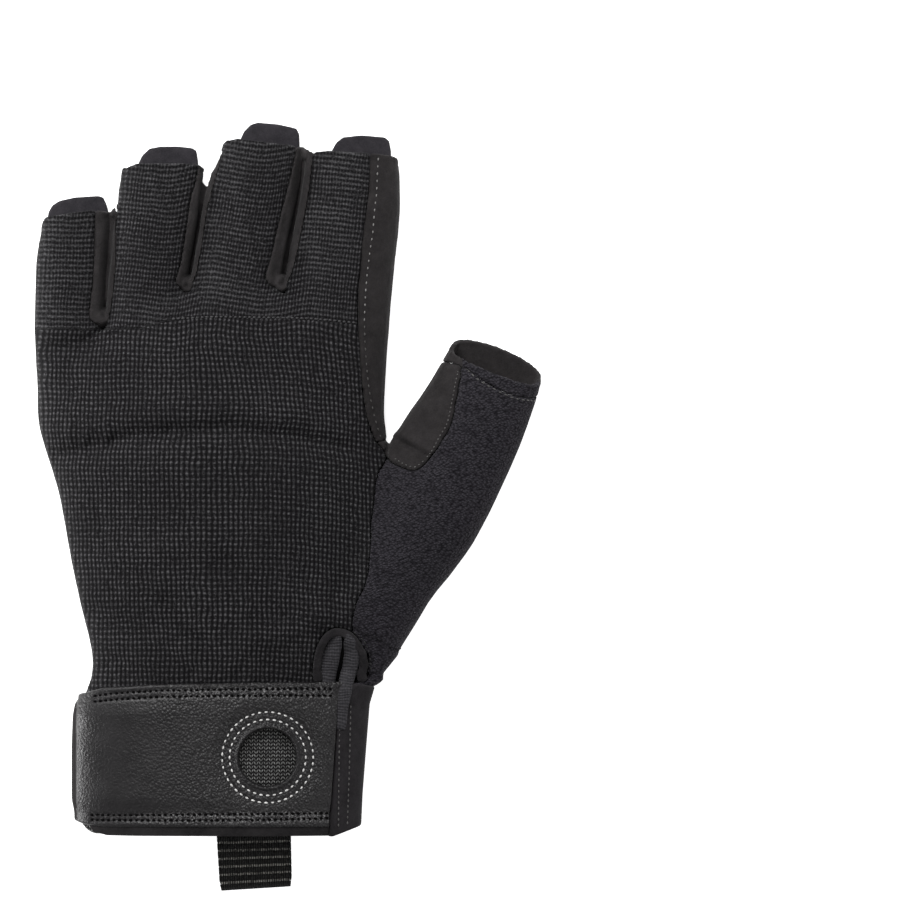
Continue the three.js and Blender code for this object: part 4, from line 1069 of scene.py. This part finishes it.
def rolled(name, path, surfaces):
    """A soft closed roll along places of the photograph, each with half its width in pixels and its height."""
    rows = flowing([(*plan(place), place[2] * PIXEL, place[3] * MM) for place in path], 0.4 * MM)
    hits, _ = laid_on(surfaces, rows[:, :2])
    even = 2 * ROLL_LEVEL + 1
    level = np.convolve(np.pad(hits[:, 2], ROLL_LEVEL, "edge"), np.ones(even) / even, "valid")
    way = np.gradient(rows[:, :2], axis=0)
    side = np.stack([-way[:, 1], way[:, 0]], 1) / np.linalg.norm(way, axis=1)[:, None]
    end = np.minimum(np.arange(len(rows)), np.arange(len(rows))[::-1]) / ROLL_END
    full = np.sqrt(1 - (1 - np.clip(end + 0.1, 0, 1)) ** 2)
    shape = bmesh.new()
    rings = []
    for row, across, base, share in zip(rows, side, level, full):
        ring = []
        for turn in np.linspace(0, 2 * math.pi, ROLL_SIDES, endpoint=False):
            x, y = row[:2] + across * (row[2] * share) * math.cos(turn)
            ring.append(shape.verts.new((x, y, base + row[3] * share * math.sin(turn))))
        rings.append(ring)
    for one, two in zip(rings[:-1], rings[1:]):
        for k in range(ROLL_SIDES):
            shape.faces.new((one[k - 1], one[k], two[k], two[k - 1]))
    shape.faces.new(rings[0])
    shape.faces.new(reversed(rings[-1]))
    bmesh.ops.recalc_face_normals(shape, faces=shape.faces)
    piece = made_from(shape, name)
    piece.data.shade_smooth()
    return piece


ribbed = ribbed_look()
slit_surfaces = [surface_of(piece) for piece in (gusset, binding, side_panel, back)]
for name, path in SLIT_FOLDS.items():
    dressed(rolled(name, path, slit_surfaces), "terry", None, ribbed)

# Soft tabs at the fingers' ends
# Each finger's palm side runs on as a small rounded tab of brushed microfibre, for pulling the glove off.
microfibre = suede_look("brushed_microfibre", (0.02, 0.019, 0.022), (0.04, 0.037, 0.042))
TAB_OUTLINES = {
    "little": ((45.8, 219), (47.2, 211), (51, 204.5), (58, 200), (73.6, 196.5), (97.5, 195), (102.2, 196.6),
               (105.6, 204), (107.6, 212), (107.4, 218)),
    "ring": ((136.8, 171), (137.4, 162), (141.2, 154.4), (148.3, 147.6), (160, 145.4), (177, 145.4), (191.4, 147),
             (195.6, 149.6), (197.2, 160), (197.8, 171)),
    "middle": ((238, 150), (239.4, 138.8), (243.2, 130.4), (250, 123.6), (257, 121.4), (278, 123.2), (296, 127.4),
               (298.7, 133), (299.2, 147), (298.6, 157)),
    "index": ((330, 162), (330.6, 151), (335.8, 141.6), (342.6, 136.2), (361.4, 134.2), (384.5, 136.2), (389, 139.8),
              (390.8, 150), (391.2, 165)),
}
TAB_LOW, TAB_HIGH = 0.15 * MM, 1.95 * MM
TAB_VOXEL = 0.3 * MM
for finger, outline in TAB_OUTLINES.items():
    shape = bmesh.new()
    line = [plan(place) for place in outline]
    floor = shape.faces.new([shape.verts.new((*place, TAB_LOW)) for place in line])
    grown = bmesh.ops.extrude_face_region(shape, geom=[floor])["geom"]
    bmesh.ops.translate(shape, vec=(0, 0, TAB_HIGH - TAB_LOW),
                        verts=[part for part in grown if isinstance(part, bmesh.types.BMVert)])
    bmesh.ops.recalc_face_normals(shape, faces=shape.faces)
    tab = remeshed(made_from(shape, "pull_off_tab_" + finger), TAB_VOXEL)
    put_points(tab, relaxed(points_of(tab), edges_of(tab), 5))
    dressed(tab, "microfibre", "tab_" + finger, microfibre)

# Webbing tab and tape loops
# A ribbed webbing tab is sewn under the cuff and folded back at its free end; two loops of narrow tape hang
# from the cuff's lower edge.
WEBBING_RIB = 2.1 * MM
RIB_SIZE = np.array((20.1, 1.75, 0.95)) * MM
PULL_MIDDLE = -9.7 * MM
# The webbing's outside along its length: across the hand's end and up, in millimetres
PULL_PATH = ((-81.0, 0.5), (-100.3, 0.5), (-101.4, 0.75), (-102.1, 1.2), (-102.4, 1.75), (-102.1, 2.3),
             (-101.4, 2.75), (-100.3, 3.0), (-88.9, 3.0))
# How the tab hangs askew: where along the hand it starts, its length and half its width
SLANT_START, SLANT_LENGTH, SLANT_HALF = -81 * MM, 21.4 * MM, 10 * MM
# From what share of its length its corners draw in
CORNER_FROM, CORNER_OVER = 0.86, 0.16


def webbing_look(name, dark, light):
    webbing = Finish(name, 0.75, specular=0.05)
    yarn = webbing.wave(webbing.parts(webbing.place())[0], 0.62 * MM)
    uneven = webbing.span(webbing.mottle(0.6 * MM), 0.35, 0.65)
    tone = webbing.times(webbing.span(yarn, -1.0, 1.0), webbing.plus(uneven, 0.25), clamp=True)
    return webbing.finished(webbing.between(tone, dark, light), yarn, 0.12 * MM, 0.8)


def rib_form(tree, given, along):
    """A bar that lies across the webbing, with its own height upwards."""
    laid = add_node(tree, "FunctionNodeAlignRotationToVector", {"Vector": along}, axis="Y", pivot_axis="X")
    bar = add_node(tree, "GeometryNodeMeshCylinder", {"Vertices": 14, "Radius": 0.5, "Depth": 1.0})
    turned = add_node(tree, "GeometryNodeTransform", {"Geometry": bar.outputs[0], "Rotation": (0, math.pi / 2, 0)})
    return turned.outputs[0], laid.outputs[0], given["Size"]


def aslant(points):
    """Lets the tab hang a little askew, with the corners of its fold drawn in."""
    far = np.clip((SLANT_START - points[:, 1]) / SLANT_LENGTH, 0, 1.1)
    side = (points[:, 0] - PULL_MIDDLE) / SLANT_HALF
    corner = smooth_step((far - CORNER_FROM) / CORNER_OVER)
    points[:, 0] += far * (0.85 - 0.42 * side) * MM - corner * 0.35 * MM * side
    points[:, 1] += far * (0.02 + 0.58 * side) * MM
    return points


webbing = webbing_look("ribbed_webbing", (0.0035, 0.0035, 0.0035), (0.017, 0.017, 0.0165))
# The threads between the ribs are painted pale: painted glints, seen in the thin gaps between the ribs
webbing_glint_floor = webbing_look("webbing_between_ribs_painted_glints", (0.005, 0.005, 0.005), (0.19, 0.185, 0.17))
pull = skin("pull_webbing", ["pull_tab"], 0.4 * MM)
put_points(pull, relaxed(points_of(pull), edges_of(pull), 3))
put_points(pull, aslant(points_of(pull) - 0.28 * MM * normals_of(pull)))
dressed(pull, "webbing", "pull_tab", webbing_glint_floor)
rib_line = bpy.data.meshes.new("pull_webbing_ribs")
rib_line.from_pydata([(PULL_MIDDLE, y * MM, z * MM) for y, z in PULL_PATH],
                     [(k, k + 1) for k in range(len(PULL_PATH) - 1)], [])
rib_rows = row_tree("webbing_rib_rows", {"Size": "Vector"}, webbing, rib_form)
ribs = with_rows(linked("pull_webbing_ribs", rib_line), rib_rows, WEBBING_RIB, RIB_SIZE)
put_points(ribs, off_table(aslant(points_of(ribs))))
dressed(ribs, "webbing")
for side in ("little", "thumb"):
    tape = panel("tape_loop_" + side, "hang_loop_" + side, 0.3 * MM)
    dressed(tape, "webbing", "hang_loop_" + side, webbing)

# Studio
# A plain white table under soft light, with the camera straight above as in the photograph.
CAMERA_HEIGHT = 2.0
FRAME_WIDTH = 900 * PIXEL
LEVEL_SEEN = 8 * MM
TABLE_HALF, TABLE_LEVEL = 3.0, -0.05 * MM
# Each lamp's place, its size and its power
LAMPS = {
    "key_light": ((-0.3, 0.9, 0.75), 0.5, 15),
    "side_light": ((-1.1, -0.1, 0.12), 0.22, 12),
    "fill_light": ((0.9, -0.6, 0.8), 0.7, 4),
    "top_light": ((-0.15, 0.5, 1.35), 0.3, 5),
}

camera = linked("studio_camera", bpy.data.cameras.new("studio_camera"))
camera.data.sensor_width = 36
camera.data.lens = 36 * (CAMERA_HEIGHT - LEVEL_SEEN) / FRAME_WIDTH
camera.data.clip_end = 20
camera.location = (*plan((450, 450)), CAMERA_HEIGHT)
bpy.context.scene.camera = camera

white = Finish("white_table", 0.8, specular=0.1)
white.inputs["Base Color"].default_value = (0.9, 0.9, 0.9, 1)
white.inputs["Emission Color"].default_value = (1, 1, 1, 1)
white.inputs["Emission Strength"].default_value = 0.85
table = linked("studio_table", bpy.data.meshes.new("studio_table"))
corners = [(x * TABLE_HALF, y * TABLE_HALF, TABLE_LEVEL) for x, y in ((-1, -1), (1, -1), (1, 1), (-1, 1))]
table.data.from_pydata(corners, [], [(0, 1, 2, 3)])
table.data.materials.append(white.made)

for name, (place, size, power) in LAMPS.items():
    light = linked(name, bpy.data.lights.new(name, "AREA"))
    light.data.size = size
    light.data.energy = power
    light.location = place
    light.rotation_euler = (-Vector(place)).to_track_quat("-Z", "Y").to_euler()

world = bpy.data.worlds.new("studio_white")
world.use_nodes = True
world.node_tree.nodes["Background"].inputs[0].default_value = (1, 1, 1, 1)
world.node_tree.nodes["Background"].inputs[1].default_value = 0.36
bpy.context.scene.world = world
bpy.context.scene.view_settings.view_transform = "Standard"
